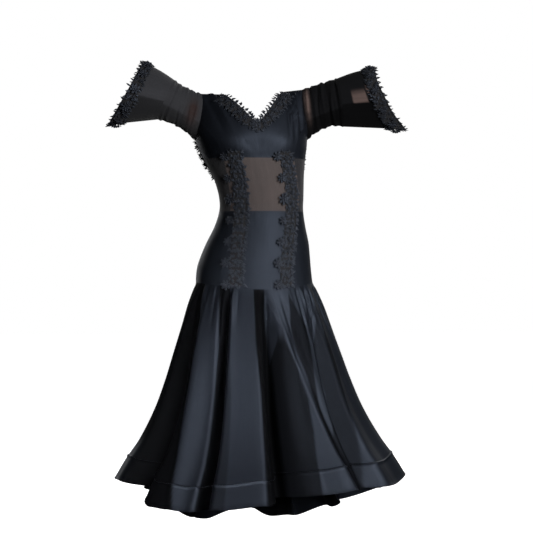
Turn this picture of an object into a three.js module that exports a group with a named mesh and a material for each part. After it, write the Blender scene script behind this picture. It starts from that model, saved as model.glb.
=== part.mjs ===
// Black ballroom dance dress, hollow as worn, in millimetres.
// The front faces -Y, up is +Z, and the origin is on the body's axis at the natural waist.
import * as THREE from "three";

const DEGREE = Math.PI / 180;

// Cloth thicknesses
const SATIN = 1.3;
const MESH = 1.0;
const HEM_BAND = 2.0;
const LACE = 1.2;

// Joins
const SEAM_GAP = 0.3;
const SKIRT_SEAM_GAP = 0.5;
const LACE_GAP = 0.8;
const LACE_LIFT = 0.9;
const SLEEVE_SET_OUT = 0.5;

// Seam heights and places round the body
const SHOULDER_TOP = 324;
const UNDERBUST = 130;
const MIDRIFF_BOTTOM = -19;
const YOKE_BOTTOM_FRONT = -239;
const YOKE_SIDE_RISE = 19;
const SIDE_SEAM = 90;
const ARMHOLE_BOTTOM = 183;
const ARMHOLE_SPREAD_FRONT = 18;
const ARMHOLE_SPREAD_BACK = 30;
const ARMHOLE_TOP_SPREAD = 12;
const ARMHOLE_STEP = 15;
const PRINCESS_MEETS_ARMHOLE = 105;
const HEM_BAND_HEIGHT = 66;

// Body form: level sections of the fitted part, from the yoke seam to the shoulder line.
const BODY = {
  columns: ["height", "halfWidth", "front", "back", "shiftX", "shiftY"],
  rows: [
    [-262, 170, 119, 132, -5, 6],
    [-239, 168, 118, 134, -7, 7],
    [-213, 167, 118, 137, -10, 8],
    [-176, 163, 116, 136, -10, 8],
    [-142, 156, 110, 126, -6, 6],
    [-108, 147, 102, 112, -1, 2],
    [-60, 130, 94, 95, 5, -4],
    [-14, 120, 90, 84, 8, -8],
    [20, 121, 90, 83, 8, -8],
    [51, 125, 93, 87, 5, -6],
    [82, 131, 98, 92, 0, -4],
    [130, 146, 106, 98, -11, 0],
    [165, 156, 114, 102, -16, 2],
    [190, 161, 116, 104, -19, 4],
    [215, 163, 111, 103, -19, 6],
    [240, 160, 101, 98, -18, 8],
    [265, 156, 86, 86, -17, 9],
    [285, 153, 70, 70, -16, 10],
    [300, 151, 54, 54, -16, 10],
    [312, 150, 37, 37, -16, 10],
    [320, 150, 19, 19, -16, 10],
    [324, 150, 0.1, 0.1, -16, 10],
  ],
};
const BUST = { angle: 33, spread: 21, height: 170, tall: 36, rise: 8 };
const CLEAVAGE_DIP = 5;
const BUST_WIDENS = 0.3;
const SHOULDER_SLOPE = 0.055;
const NECK_DROP = 10;
const SHOULDER_SLOPE_FROM = 150;

// Side-front (princess) seam of the bodice, up to where it meets the armhole
const PRINCESS = {
  columns: ["angle", "height"],
  rows: [
    [43, 130],
    [44, 158],
    [48, 186],
    [58, 212],
    [72.6, 235.25],
  ],
};
// Angle of the princess seam below the bust, by height
const LOWER_PRINCESS = {
  columns: ["height", "angle"],
  rows: [
    [-262, 40],
    [-239, 40],
    [-173, 38],
    [-19, 54],
    [60, 52],
    [130, 43],
  ],
};
// V neckline of the satin, from the shoulder to the point of the V
const NECKLINE = {
  columns: ["angle", "height"],
  rows: [
    [35, 324],
    [27, 309],
    [21, 295],
    [15, 277],
    [10, 262],
    [5, 246],
    [0, 230],
  ],
};
// Edge of the deep back opening, from the shoulder to the centre back
const BACK_EDGE_UPPER = {
  columns: ["angle", "height", "laceWidth"],
  rows: [
    [112, 130, 26],
    [111, 158, 24],
    [116, 186, 18],
    [129, 212, 13],
    [137, 238, 12],
    [140, 268, 12],
    [142, 295, 16],
    [146, 324, 26],
  ],
};
const BACK_EDGE_LOWER = {
  columns: ["angle", "height", "laceWidth"],
  rows: [
    [112, 130, 26],
    [116, 110, 27],
    [125, 90, 28],
    [137, 74, 28],
    [151, 61, 28],
    [166, 52, 28],
    [180, 48, 28],
  ],
};

// Gathers of the front straps
const GATHER_SEGMENTS = 8;
const LACED_STRAP_SEGMENTS = 2;
const LACED_STRAP_FROM = 56;
const GATHER_DEPTH = 1.6;
const GATHER_BOTTOM = 165;
const GATHER_AT_SHOULDER = 0.4;

// Skirt: how far each fold stands out (+) or in (-) at the hem, and how high the hem hangs there
const FOLDS = {
  columns: ["angle", "out", "hem"],
  rows: [
    [-96, -42, -776],
    [-79, 46, -768],
    [-67, -36, -786],
    [-55, 38, -830],
    [-38, 14, -842],
    [-32, -46, -838],
    [-26, 34, -832],
    [-6, 38, -820],
    [4, -125, -812],
    [24, -30, -802],
    [39, 2, -793],
    [46, -24, -790],
    [58, 34, -786],
    [80, 42, -768],
    [98, -42, -790],
    [112, 40, -826],
    [126, -44, -862],
    [140, 42, -896],
    [153, -46, -918],
    [166, 42, -932],
    [179, -50, -892],
    [194, 44, -936],
    [209, -46, -916],
    [222, 42, -838],
    [236, -44, -800],
    [250, 42, -786],
  ],
};
const SAMPLES_PER_FOLD = 4;
const TROUGH_SHARPNESS = 1.8;
const HEM_HALF_WIDTH = 375;
const HEM_FRONT = 300;
const HEM_BACK = 325;
const HEM_SHIFT_X = 4;
const SHIFT_REACHED_AT = 0.8;
// Fall of the skirt: share of the flare and of the fold depth reached at each share of the drop
const FLARE = {
  columns: ["drop", "flare", "folds"],
  rows: [
    [0, 0, 0],
    [0.09, 0.075, 0.12],
    [0.225, 0.165, 0.32],
    [0.35, 0.245, 0.48],
    [0.5, 0.345, 0.64],
    [0.65, 0.475, 0.78],
    [0.8, 0.665, 0.91],
    [0.9, 0.84, 0.98],
    [1, 1, 1],
  ],
};
// Skirt gores: each runs between two troughs
const GORES = {
  columns: ["name", "from", "to"],
  rows: [
    ["front_left", -96, -32],
    ["front", -32, 46],
    ["front_right", 46, 98],
    ["back_right", 98, 153],
    ["back", 153, 209],
    ["back_left", 209, 264],
  ],
};
const SKIRT_ROWS = 6;

// Sleeves: ring at the cuff seam and ring at the cuff's outer edge; lean tips the ring's top inwards
const SLEEVES = {
  columns: ["name", "side", "x", "y", "z", "halfHeight", "halfDepth", "lean", "yaw", "dish"],
  rows: [
    ["left", -1, 262, 16, 298, 61, 60, 23, 10, 0],
    ["left", -1, 377, 34, 315, 101, 70, 28.7, 10, 9],
    ["right", 1, 241, -2, 296, 70, 60, 8, 10, 0],
    ["right", 1, 381, -24, 306, 98, 70, 28, 10, 22],
  ],
};
// How far a sleeve draws in halfway along, above and below
const SLEEVE_WAIST = { left: [4, 11], right: [-1, 17] };
const SLEEVE_ROWS = 8;
const RUCHE_DEPTH = 2.2;
const RUCHE_UNEVEN = 0.3;
const RUCHE_REPEATS = 3;
const CUFF_ROWS = 3;
const CUFF_FOLD_STEP = 5;
const CUFF_FOLD_FROM = 105;
const CUFF_FOLD_TO = 80;
const CUFF_WAVE = 5;
const CUFF_WAVES = 5;

// Lace: leaf spikes along the edges and raised flowers
const LACE_TOP = 319;
const NECK_LACE_START = [32.5, 318];
const BACK_LACE_START = [143, 318, 22];
const NECK_LACE_WIDTH = 38;
const NECK_LACE_AT_POINT = 26;
const NECK_LACE_POINTS = 18;
const BACK_LACE_POINTS = 32;
const LACE_COLUMNS = 2;
const LEAF_SPIKE = 8;
const BACK_LEAF_SPIKE = 7;
const BACK_LEAF_CURL = 13;
const LACE_RELIEF = 1.6;
const LACE_NOTCH = 0.5;
const LACE_ROOT = 1;
const NECK_LACE_TURN = 5;
const BACK_LACE_TURN = 3;
const WALK_STEP = 4;
const STRIP_X = 72;
const STRIP_HALF_WIDTH = 22;
const STRIP_TOP = 148;
const STRIP_BOTTOM = -229;
const STRIP_ROWS = 36;
const STRIP_SHARES = [-1, -0.35, 0.35, 1];
const FLOWER_OVERHANG = 4;
const FLOWER_ROUNDNESS = 0.7;
const FLOWER_SPACING = 61;
const FLOWER_FIRST = 134;
const FLOWER_RADIUS = 15;
const FLOWER_RISE = 3;
const LEAF_EDGE = 3;
const CUFF_LACE_START = 0.68;
const CUFF_LACE_ROWS = 2;
const CUFF_LEAF = 0.05;
const CUFF_CROWN = 5;

// Colours of the cloths
const SATIN_BLACK = { color: 0x14161c, roughness: 0.42, metalness: 0 };
const SHEER_BROWN = { color: 0x3a3230, roughness: 0.7, metalness: 0 };
const SHEER_BLACK = { color: 0x1e1c20, roughness: 0.7, metalness: 0 };
const LACE_BLACK = { color: 0x1b1d24, roughness: 0.8, metalness: 0 };

const group = new THREE.Group();
group.name = "ballroom_dress";

// ---------------------------------------------------------------- tables and small helpers

// A smooth function of the first column of a table, giving one value per later column.
function smooth(table) {
  const rows = table.rows;
  const width = rows[0].length - 1;
  const slope = (i, c) => {
    const a = rows[Math.max(i - 1, 0)];
    const b = rows[Math.min(i + 1, rows.length - 1)];
    return (b[c] - a[c]) / (b[0] - a[0]);
  };
  return (x) => {
    let i = 0;
    while (i < rows.length - 2 && x > rows[i + 1][0]) i += 1;
    const p = rows[i];
    const q = rows[i + 1];
    const h = q[0] - p[0];
    const f = THREE.MathUtils.clamp((x - p[0]) / h, 0, 1);
    const out = [];
    for (let c = 1; c <= width; c += 1) {
      const m = slope(i, c) * h;
      const n = slope(i + 1, c) * h;
      const f2 = f * f;
      const f3 = f2 * f;
      out.push(
        (2 * f3 - 3 * f2 + 1) * p[c] + (f3 - 2 * f2 + f) * m +
          (3 * f2 - 2 * f3) * q[c] + (f3 - f2) * n
      );
    }
    return out;
  };
}

const mix = (a, b, f) => a + (b - a) * f;
const bump = (x, middle, spread) => Math.exp(-(((x - middle) / spread) ** 2));
const range = (n) => Array.from({ length: n + 1 }, (_, i) => i);
const turned = (angle) => ((((angle + 180) % 360) + 360) % 360) - 180;

// Points along a table's polyline of [angle, height], at equal shares of its rows.
function along(rows, share) {
  const place = share * (rows.length - 1);
  const i = Math.min(Math.floor(place), rows.length - 2);
  const f = place - i;
  return [mix(rows[i][0], rows[i + 1][0], f), mix(rows[i][1], rows[i + 1][1], f)];
}

const mirrored = (rows) => rows.map(([angle, height]) => [-angle, height]);
// Shares that close up towards the end, for cloth that turns over the shoulder.
const closingUp = (share) => Math.sin((share * Math.PI) / 2);

// ---------------------------------------------------------------- the fitted body surface

const section = smooth(BODY);
const lowerPrincess = smooth(LOWER_PRINCESS);

// Point on the dress at an angle round the body (0 centre front, 90 the wearer's left side).
function body(angle, height) {
  const [halfWidth, front, back, shiftX, shiftY] = section(height);
  const a = angle * DEGREE;
  const turn = Math.abs(turned(angle));
  const swell =
    BUST.rise * bump(turn, BUST.angle, BUST.spread) * bump(height, BUST.height, BUST.tall) -
    CLEAVAGE_DIP * bump(turn, 0, BUST.spread) * bump(height, BUST.height, BUST.tall);
  const depth = Math.cos(a) > 0 ? front + swell : back;
  const slope = Math.max(0, height - SHOULDER_SLOPE_FROM) / (SHOULDER_TOP - SHOULDER_SLOPE_FROM);
  const x = halfWidth * Math.sin(a);
  return new THREE.Vector3(
    shiftX + x + swell * BUST_WIDENS * Math.sin(a),
    shiftY - depth * Math.cos(a),
    height + slope * (SHOULDER_SLOPE * x - NECK_DROP * (1 - Math.abs(Math.sin(a))))
  );
}

// ---------------------------------------------------------------- the skirt surface

const yokeBottom = (angle) => YOKE_BOTTOM_FRONT + YOKE_SIDE_RISE * Math.sin(angle * DEGREE) ** 2;
const flare = smooth(FLARE);

// The fold offset and hem height at an angle, eased from one fold row to the next.
function fold(angle) {
  const rows = FOLDS.rows;
  const first = rows[0][0];
  const a = first + ((((angle - first) % 360) + 360) % 360);
  const closed = [...rows, [first + 360, rows[0][1], rows[0][2]]];
  let i = 0;
  while (a > closed[i + 1][0]) i += 1;
  const [a0, out0, hem0] = closed[i];
  const [a1, out1, hem1] = closed[i + 1];
  const f = (a - a0) / (a1 - a0);
  const ease = (1 - Math.cos(Math.PI * f)) / 2;
  const falling = out1 < out0;
  const share = falling ? ease ** TROUGH_SHARPNESS : 1 - (1 - ease) ** TROUGH_SHARPNESS;
  return { out: mix(out0, out1, share), hem: mix(hem0, hem1, ease) };
}

function skirt(angle, drop) {
  const a = angle * DEGREE;
  const top = body(angle, yokeBottom(angle));
  const { out, hem } = fold(angle);
  const [spread, depth] = flare(drop);
  const hemDepth = Math.cos(a) > 0 ? HEM_FRONT : HEM_BACK;
  const reach = out * (depth / Math.max(spread, 0.001));
  const foldReach = drop > 0 ? reach : 0;
  const middle = section(yokeBottom(angle))[3];
  const shift = (HEM_SHIFT_X - middle) * Math.min(1, drop / SHIFT_REACHED_AT);
  const hemX = middle + (HEM_HALF_WIDTH + foldReach) * Math.sin(a);
  const hemY = -(hemDepth + foldReach) * Math.cos(a);
  return new THREE.Vector3(
    mix(top.x, hemX, spread) + shift,
    mix(top.y, hemY, spread),
    mix(top.z, hem, drop)
  );
}

// ---------------------------------------------------------------- the sleeve surfaces

// Place on the armhole, turning from the shoulder (0) down the front to the underarm (180)
// and up the back (360), as an angle round the body and a height.
function armhole(turn) {
  const up = turn <= 180 ? turn : 360 - turn;
  const middle = (SHOULDER_TOP + ARMHOLE_BOTTOM) / 2;
  const half = (SHOULDER_TOP - ARMHOLE_BOTTOM) / 2;
  const height = middle + half * Math.cos(up * DEGREE);
  const round = Math.sin(up * DEGREE);
  const widest = turn <= 180 ? ARMHOLE_SPREAD_FRONT : ARMHOLE_SPREAD_BACK;
  const rest = widest - ARMHOLE_TOP_SPREAD;
  const spread = up < 90 ? ARMHOLE_TOP_SPREAD + rest * round : widest * round;
  return [SIDE_SEAM + (turn <= 180 ? -spread : spread), height];
}

// A ring of a sleeve: round at the seam, pointed above and below at the cuff's edge.
function sleeveRing(row, turn, pointed) {
  const [, side, x, y, z, halfHeight, halfDepth, lean, yaw, dish] = row;
  const t = turn * DEGREE;
  const up = halfHeight * Math.cos(t);
  const round = Math.sin(t);
  const lens = round * Math.abs(round);
  const forward = -halfDepth * mix(round, lens, pointed);
  const outward = x - up * Math.sin(lean * DEGREE) - dish * round * round;
  return new THREE.Vector3(
    side * outward + forward * Math.sin(yaw * DEGREE),
    y + forward * Math.cos(yaw * DEGREE),
    z + up * Math.cos(lean * DEGREE)
  );
}

// Direction straight out of a sleeve ring, shared by the sleeve and the cuff at their seam.
function ringNormal(row, turn) {
  const [, side, , , , , , lean, yaw] = row;
  const t = turn * DEGREE;
  const up = Math.cos(t);
  const forward = -Math.sin(t);
  return new THREE.Vector3(
    -side * up * Math.sin(lean * DEGREE) + forward * Math.sin(yaw * DEGREE),
    forward * Math.cos(yaw * DEGREE),
    up * Math.cos(lean * DEGREE)
  );
}

function sleeve(rows, turn, share) {
  const side = rows[0][1];
  const [angle, height] = armhole(turn);
  const start = body(side * angle, height);
  start.x += side * SLEEVE_SET_OUT;
  const end = sleeveRing(rows[0], turn, 0);
  const p = start.clone().lerp(end, share);
  const t = turn * DEGREE;
  const pull = Math.sin(Math.PI * share);
  const waves = Math.round(share * SLEEVE_ROWS) % 2 === 0 ? -1 : 1;
  const uneven = 1 - RUCHE_UNEVEN * (1 - Math.sin(RUCHE_REPEATS * t + 1));
  const ruche = RUCHE_DEPTH * pull * waves * uneven;
  const [above, below] = SLEEVE_WAIST[rows[0][0]];
  const inward = mix(below, above, (1 + Math.cos(t)) / 2) * pull - ruche;
  p.y += inward * Math.sin(t);
  p.z -= inward * Math.cos(t);
  return p;
}

function cuff(rows, turn, share) {
  const seam = sleeveRing(rows[0], turn, 0);
  const edge = sleeveRing(rows[1], turn, 1);
  const p = seam.lerp(edge, share);
  const t = turn * DEGREE;
  const ripple = CUFF_WAVE * share * Math.sin(CUFF_WAVES * t) * Math.sin(t) ** 2;
  const folded = THREE.MathUtils.smoothstep(-turn, -CUFF_FOLD_FROM, -CUFF_FOLD_TO);
  const flap = turn < 180 ? CUFF_FOLD_STEP * share * folded : 0;
  p.y -= (ripple + flap) * Math.sign(Math.sin(t) || 1);
  p.z += CUFF_CROWN * Math.sin(Math.PI * Math.min(share, 1)) * Math.max(0, Math.cos(t));
  return p;
}

// ---------------------------------------------------------------- cloth walls

// Unit normals of a grid of points, pointing to the side that faces out.
function gridNormals(grid, closed) {
  const m = grid.length;
  const n = grid[0].length;
  const at = (i, j) => {
    const ii = closed ? (i + m) % m : THREE.MathUtils.clamp(i, 0, m - 1);
    return grid[ii][THREE.MathUtils.clamp(j, 0, n - 1)];
  };
  return grid.map((column, i) =>
    column.map((_, j) => {
      const across = at(i + 1, j).clone().sub(at(i - 1, j));
      const upward = at(i, j + 1).clone().sub(at(i, j - 1));
      return across.cross(upward).normalize();
    })
  );
}

// Draws an open edge of the grid back along the cloth by half the seam gap.
function drawBack(grid, closed, amount) {
  const m = grid.length;
  const n = grid[0].length;
  const pull = (p, q) => p.add(q.clone().sub(p).setLength(amount));
  for (let i = 0; i < m; i += 1) {
    pull(grid[i][0], grid[i][1]);
    pull(grid[i][n - 1], grid[i][n - 2]);
  }
  if (closed) return;
  for (let j = 0; j < n; j += 1) {
    pull(grid[0][j], grid[1][j]);
    pull(grid[m - 1][j], grid[m - 2][j]);
  }
}

// A closed wall of cloth from a grid of points [across][up] that turns to the wearer's left
// (+X at the front) and climbs; thickness goes inwards, lift moves the inner face out.
function wall(grid, settings) {
  const { thickness, lift = null, closed = false, relief = null, normals = null } = settings;
  const gap = settings.gap ?? SEAM_GAP;
  const facing = normals ?? gridNormals(grid, closed);
  const m = grid.length;
  const n = grid[0].length;
  const outerAt = (i, j) => (lift === null ? 0 : lift + thickness) + (relief ? relief(i, j) : 0);
  const innerAt = lift === null ? -thickness : lift;
  const outer = grid.map((column, i) =>
    column.map((p, j) => p.clone().addScaledVector(facing[i][j], outerAt(i, j)))
  );
  const inner = grid.map((column, i) =>
    column.map((p, j) => p.clone().addScaledVector(facing[i][j], innerAt))
  );
  drawBack(outer, closed, gap / 2);
  drawBack(inner, closed, gap / 2);
  const positions = [];
  for (const side of [outer, inner]) {
    for (const column of side) {
      for (const p of column) positions.push(p.x, p.y, p.z);
    }
  }
  const o = (i, j) => (i % m) * n + j;
  const k = (i, j) => m * n + (i % m) * n + j;
  const faces = [];
  const quad = (a, b, c, d) => faces.push(a, b, c, a, c, d);
  const last = closed ? m : m - 1;
  for (let i = 0; i < last; i += 1) {
    for (let j = 0; j < n - 1; j += 1) {
      quad(o(i, j), o(i + 1, j), o(i + 1, j + 1), o(i, j + 1));
      quad(k(i, j), k(i, j + 1), k(i + 1, j + 1), k(i + 1, j));
    }
    quad(k(i, 0), k(i + 1, 0), o(i + 1, 0), o(i, 0));
    quad(o(i + 1, n - 1), k(i + 1, n - 1), k(i, n - 1), o(i, n - 1));
  }
  if (!closed) {
    for (let j = 0; j < n - 1; j += 1) {
      quad(k(0, j), o(0, j), o(0, j + 1), k(0, j + 1));
      quad(k(m - 1, j), k(m - 1, j + 1), o(m - 1, j + 1), o(m - 1, j));
    }
  }
  const geometry = new THREE.BufferGeometry();
  geometry.setAttribute("position", new THREE.Float32BufferAttribute(positions, 3));
  geometry.setIndex(faces);
  geometry.computeVertexNormals();
  return geometry;
}

function add(name, geometry, look) {
  const mesh = new THREE.Mesh(geometry, new THREE.MeshStandardMaterial(look));
  mesh.name = name;
  group.add(mesh);
}

// Small steps for taking slopes on the surfaces
const ANGLE_STEP = 0.4;
const DROP_STEP = 0.004;

// Normals of the body surface itself, so that neighbouring panels share them at a seam.
function bodyNormals(places) {
  const step = ANGLE_STEP;
  return places.map((column) =>
    column.map(([angle, height]) => {
      if (height > SHOULDER_TOP - step) return new THREE.Vector3(0, 0, 1);
      const across = body(angle + step, height).sub(body(angle - step, height));
      const upward = body(angle, height + step).sub(body(angle, height - step));
      return across.cross(upward).normalize();
    })
  );
}

// A panel on the body between a bottom and a top line of [angle, height] places; the sides
// may be bent lines, and the places between are blended from all four.
function patch(bottom, top, left, right, climb = (share) => share) {
  const m = bottom.length - 1;
  const n = left.length - 1;
  return range(m).map((i) => {
    const u = i / m;
    return range(n).map((j) => {
      const v = climb(j / n);
      return [0, 1].map((c) => {
        const ends = mix(bottom[i][c], top[i][c], v) + mix(left[j][c], right[j][c], u);
        const low = mix(bottom[0][c], bottom[m][c], u);
        const high = mix(top[0][c], top[m][c], u);
        return ends - mix(low, high, v);
      });
    });
  });
}

const onBody = (places) => places.map((column) => column.map(([a, h]) => body(a, h)));

function bodyPanel(name, places, thickness, look, gather = null) {
  const grid = onBody(places);
  const normals = bodyNormals(places);
  if (gather) {
    grid.forEach((column, i) =>
      column.forEach((p, j) => p.addScaledVector(normals[i][j], gather(i, j, places[i][j])))
    );
  }
  add(name, wall(grid, { thickness, normals }), look);
}

// Mirrors a panel's places to the other side and keeps the columns turning the same way.
const mirrorPatch = (places) => places.map((column) => mirrored(column)).reverse();

const line = (from, to, count) =>
  range(count).map((i) => [mix(from[0], to[0], i / count), mix(from[1], to[1], i / count)]);

// ---------------------------------------------------------------- bodice

const armholeFront = range(PRINCESS_MEETS_ARMHOLE / ARMHOLE_STEP).map((i) =>
  armhole(PRINCESS_MEETS_ARMHOLE - i * ARMHOLE_STEP)
);
const frontEdge = [...PRINCESS.rows.slice(0, -1), ...armholeFront];
const strapMiddle = [LACED_STRAP_FROM, SHOULDER_TOP];
const gatheredTop = line(armhole(0), strapMiddle, GATHER_SEGMENTS);
const lacedTop = line(strapMiddle, NECKLINE.rows[0], LACED_STRAP_SEGMENTS);
const halfTop = [...gatheredTop, ...lacedTop.slice(1), ...NECKLINE.rows.slice(1)];
const frontTop = [...mirrored(halfTop), ...halfTop.slice(0, -1).reverse()];
const frontColumns = frontTop.length - 1;
const princessFoot = PRINCESS.rows[0][0];
const frontBottom = line([-princessFoot, UNDERBUST], [princessFoot, UNDERBUST], frontColumns);

bodyPanel(
  "bodice_front",
  patch(frontBottom, frontTop, mirrored(frontEdge), frontEdge, closingUp),
  SATIN,
  SATIN_BLACK,
  (i, j, [, height]) => {
    const fromSide = Math.min(i, frontColumns - i);
    const onStrap = fromSide > 0 && fromSide < GATHER_SEGMENTS;
    const ridge = onStrap && fromSide % 2 === 1 ? 1 : 0;
    const reach = THREE.MathUtils.smoothstep(height, GATHER_BOTTOM, SHOULDER_TOP);
    const end = j === frontEdge.length - 1 ? GATHER_AT_SHOULDER : 1;
    return GATHER_DEPTH * ridge * Math.min(1, 2 * reach) * end;
  }
);

const sideSegments = (180 - PRINCESS_MEETS_ARMHOLE) / ARMHOLE_STEP;
const underarm = range(sideSegments).map((i) =>
  armhole(PRINCESS_MEETS_ARMHOLE + i * ARMHOLE_STEP)
);
const sideSeamUpper = line(
  [SIDE_SEAM, UNDERBUST],
  [SIDE_SEAM, ARMHOLE_BOTTOM],
  PRINCESS.rows.length - 1
);
const bodiceSide = patch(
  line([princessFoot, UNDERBUST], [SIDE_SEAM, UNDERBUST], sideSegments),
  underarm,
  PRINCESS.rows.slice(0, -1).concat([armholeFront[0]]),
  sideSeamUpper
);
bodyPanel("bodice_side_right", bodiceSide, SATIN, SATIN_BLACK);
bodyPanel("bodice_side_left", mirrorPatch(bodiceSide), SATIN, SATIN_BLACK);

const backColumns = 4;
const armholeBack = range(180 / ARMHOLE_STEP).map((i) => armhole(180 + i * ARMHOLE_STEP));
const wingFront = [...sideSeamUpper, ...armholeBack.slice(1)];
const wingRows = wingFront.length - 1;
const wingBack = range(wingRows).map((i) => {
  const share = i / wingRows;
  return along(BACK_EDGE_UPPER.rows, mix(share, closingUp(share), share ** 3));
});
const backFoot = BACK_EDGE_UPPER.rows[0];
const bodiceBack = patch(
  line([SIDE_SEAM, UNDERBUST], backFoot, backColumns),
  line(armhole(360), BACK_EDGE_UPPER.rows.at(-1), backColumns),
  wingFront,
  wingBack,
  closingUp
);
bodyPanel("bodice_back_right", bodiceBack, SATIN, SATIN_BLACK);
bodyPanel("bodice_back_left", mirrorPatch(bodiceBack), SATIN, SATIN_BLACK);

// ---------------------------------------------------------------- midriff and yoke

const frontPanelColumns = frontColumns / 2;
const sidePanelColumns = 6;
const midriffRows = 5;
const yokeRows = 6;

// Places of a panel whose two sides are angles by height, between two levels.
function band(leftOf, rightOf, lowOf, highOf, columns, rows) {
  return range(columns).map((i) => {
    const u = i / columns;
    return range(rows).map((j) => {
      const v = j / rows;
      const guess = mix(lowOf(0), highOf(0), v);
      const angle = mix(leftOf(guess), rightOf(guess), u);
      return [angle, mix(lowOf(angle), highOf(angle), v)];
    });
  });
}

const princessAt = (height) => lowerPrincess(height)[0];
const level = (height) => () => height;
const frontPanel = (low, high, rows) =>
  band((h) => -princessAt(h), princessAt, low, high, frontPanelColumns, rows);
const sidePanel = (low, high, rows) =>
  band(princessAt, level(SIDE_SEAM), low, high, sidePanelColumns, rows);

const midriffFront = frontPanel(level(MIDRIFF_BOTTOM), level(UNDERBUST), midriffRows);
bodyPanel("midriff_front", midriffFront, MESH, SHEER_BROWN);
const midriffSide = sidePanel(level(MIDRIFF_BOTTOM), level(UNDERBUST), midriffRows);
bodyPanel("midriff_side_right", midriffSide, MESH, SHEER_BLACK);
bodyPanel("midriff_side_left", mirrorPatch(midriffSide), MESH, SHEER_BLACK);

const wingFoot = line([SIDE_SEAM, UNDERBUST], backFoot, backColumns);
const halfBackTop = [...wingFoot, ...BACK_EDGE_LOWER.rows.slice(1)];
const behind = ([angle, height]) => [360 - angle, height];
const backTop = [...halfBackTop, ...halfBackTop.slice(0, -1).reverse().map(behind)];
const backBottom = line(
  [SIDE_SEAM, MIDRIFF_BOTTOM],
  [360 - SIDE_SEAM, MIDRIFF_BOTTOM],
  backTop.length - 1
);
const midriffBack = patch(
  backBottom,
  backTop,
  line([SIDE_SEAM, MIDRIFF_BOTTOM], [SIDE_SEAM, UNDERBUST], midriffRows),
  line([360 - SIDE_SEAM, MIDRIFF_BOTTOM], [360 - SIDE_SEAM, UNDERBUST], midriffRows)
);
bodyPanel("midriff_back", midriffBack, MESH, SHEER_BLACK);

bodyPanel(
  "yoke_front",
  frontPanel(yokeBottom, level(MIDRIFF_BOTTOM), yokeRows),
  SATIN,
  SATIN_BLACK
);
const yokeSide = sidePanel(yokeBottom, level(MIDRIFF_BOTTOM), yokeRows);
bodyPanel("yoke_side_right", yokeSide, SATIN, SATIN_BLACK);
bodyPanel("yoke_side_left", mirrorPatch(yokeSide), SATIN, SATIN_BLACK);
bodyPanel(
  "yoke_back",
  band(
    level(SIDE_SEAM),
    level(360 - SIDE_SEAM),
    yokeBottom,
    level(MIDRIFF_BOTTOM),
    backTop.length - 1,
    yokeRows
  ),
  SATIN,
  SATIN_BLACK
);

// ---------------------------------------------------------------- skirt

const foldAngles = [];
FOLDS.rows.forEach(([angle], i) => {
  const next = i + 1 < FOLDS.rows.length ? FOLDS.rows[i + 1][0] : FOLDS.rows[0][0] + 360;
  for (let k = 0; k < SAMPLES_PER_FOLD; k += 1) {
    foldAngles.push(mix(angle, next, k / SAMPLES_PER_FOLD));
  }
});
foldAngles.push(FOLDS.rows[0][0] + 360);

const bandTop = (angle) => {
  const fall = yokeBottom(angle) - fold(angle).hem;
  return 1 - HEM_BAND_HEIGHT / fall;
};

// Normals taken on the skirt surface itself, so that gores and bands share them.
function skirtNormal(angle, drop) {
  const low = Math.min(drop + DROP_STEP, 1);
  const high = Math.max(drop - DROP_STEP, 0);
  const across = skirt(angle + ANGLE_STEP, drop).sub(skirt(angle - ANGLE_STEP, drop));
  const upward = skirt(angle, high).sub(skirt(angle, low));
  return across.cross(upward).normalize();
}

for (const [name, from, to] of GORES.rows) {
  const angles = foldAngles.filter((a) => a >= from - DROP_STEP && a <= to + DROP_STEP);
  const drops = (angle, j) => bandTop(angle) * (1 - j / SKIRT_ROWS);
  const gore = angles.map((a) => range(SKIRT_ROWS).map((j) => skirt(a, drops(a, j))));
  const goreNormals = angles.map((a) => range(SKIRT_ROWS).map((j) => skirtNormal(a, drops(a, j))));
  const goreWall = { thickness: SATIN, normals: goreNormals, gap: SKIRT_SEAM_GAP };
  add(`skirt_${name}`, wall(gore, goreWall), SATIN_BLACK);
  const bandDrops = (angle, j) => mix(1, bandTop(angle), j / 2);
  const hem = angles.map((a) => range(2).map((j) => skirt(a, bandDrops(a, j))));
  const hemNormals = angles.map((a) => range(2).map((j) => skirtNormal(a, bandDrops(a, j))));
  const hemWall = { thickness: HEM_BAND, normals: hemNormals, gap: SKIRT_SEAM_GAP };
  add(`hem_band_${name}`, wall(hem, hemWall), SATIN_BLACK);
}

// ---------------------------------------------------------------- sleeves and cuffs

const sleeveTurns = range(360 / ARMHOLE_STEP - 1).map((i) => i * ARMHOLE_STEP);

// The columns of a closed tube that make its front or back half, from seam to seam.
function half(columns, turns, firstTurn) {
  const picked = range(180 / ARMHOLE_STEP).map((i) => (firstTurn + i * ARMHOLE_STEP) % 360);
  const ordered = turns[0] < turns[1] ? picked : picked.reverse();
  return ordered.map((turn) => columns[turns.indexOf(turn)]);
}

// Front and back halves of a sleeve or cuff, sewn together over and under the arm.
function addHalves(name, tube, normals, turns) {
  for (const [face, firstTurn] of [
    ["front", 0],
    ["back", 180],
  ]) {
    const settings = { thickness: MESH, normals: half(normals, turns, firstTurn) };
    add(`${name}_${face}`, wall(half(tube, turns, firstTurn), settings), SHEER_BLACK);
  }
}

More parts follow.
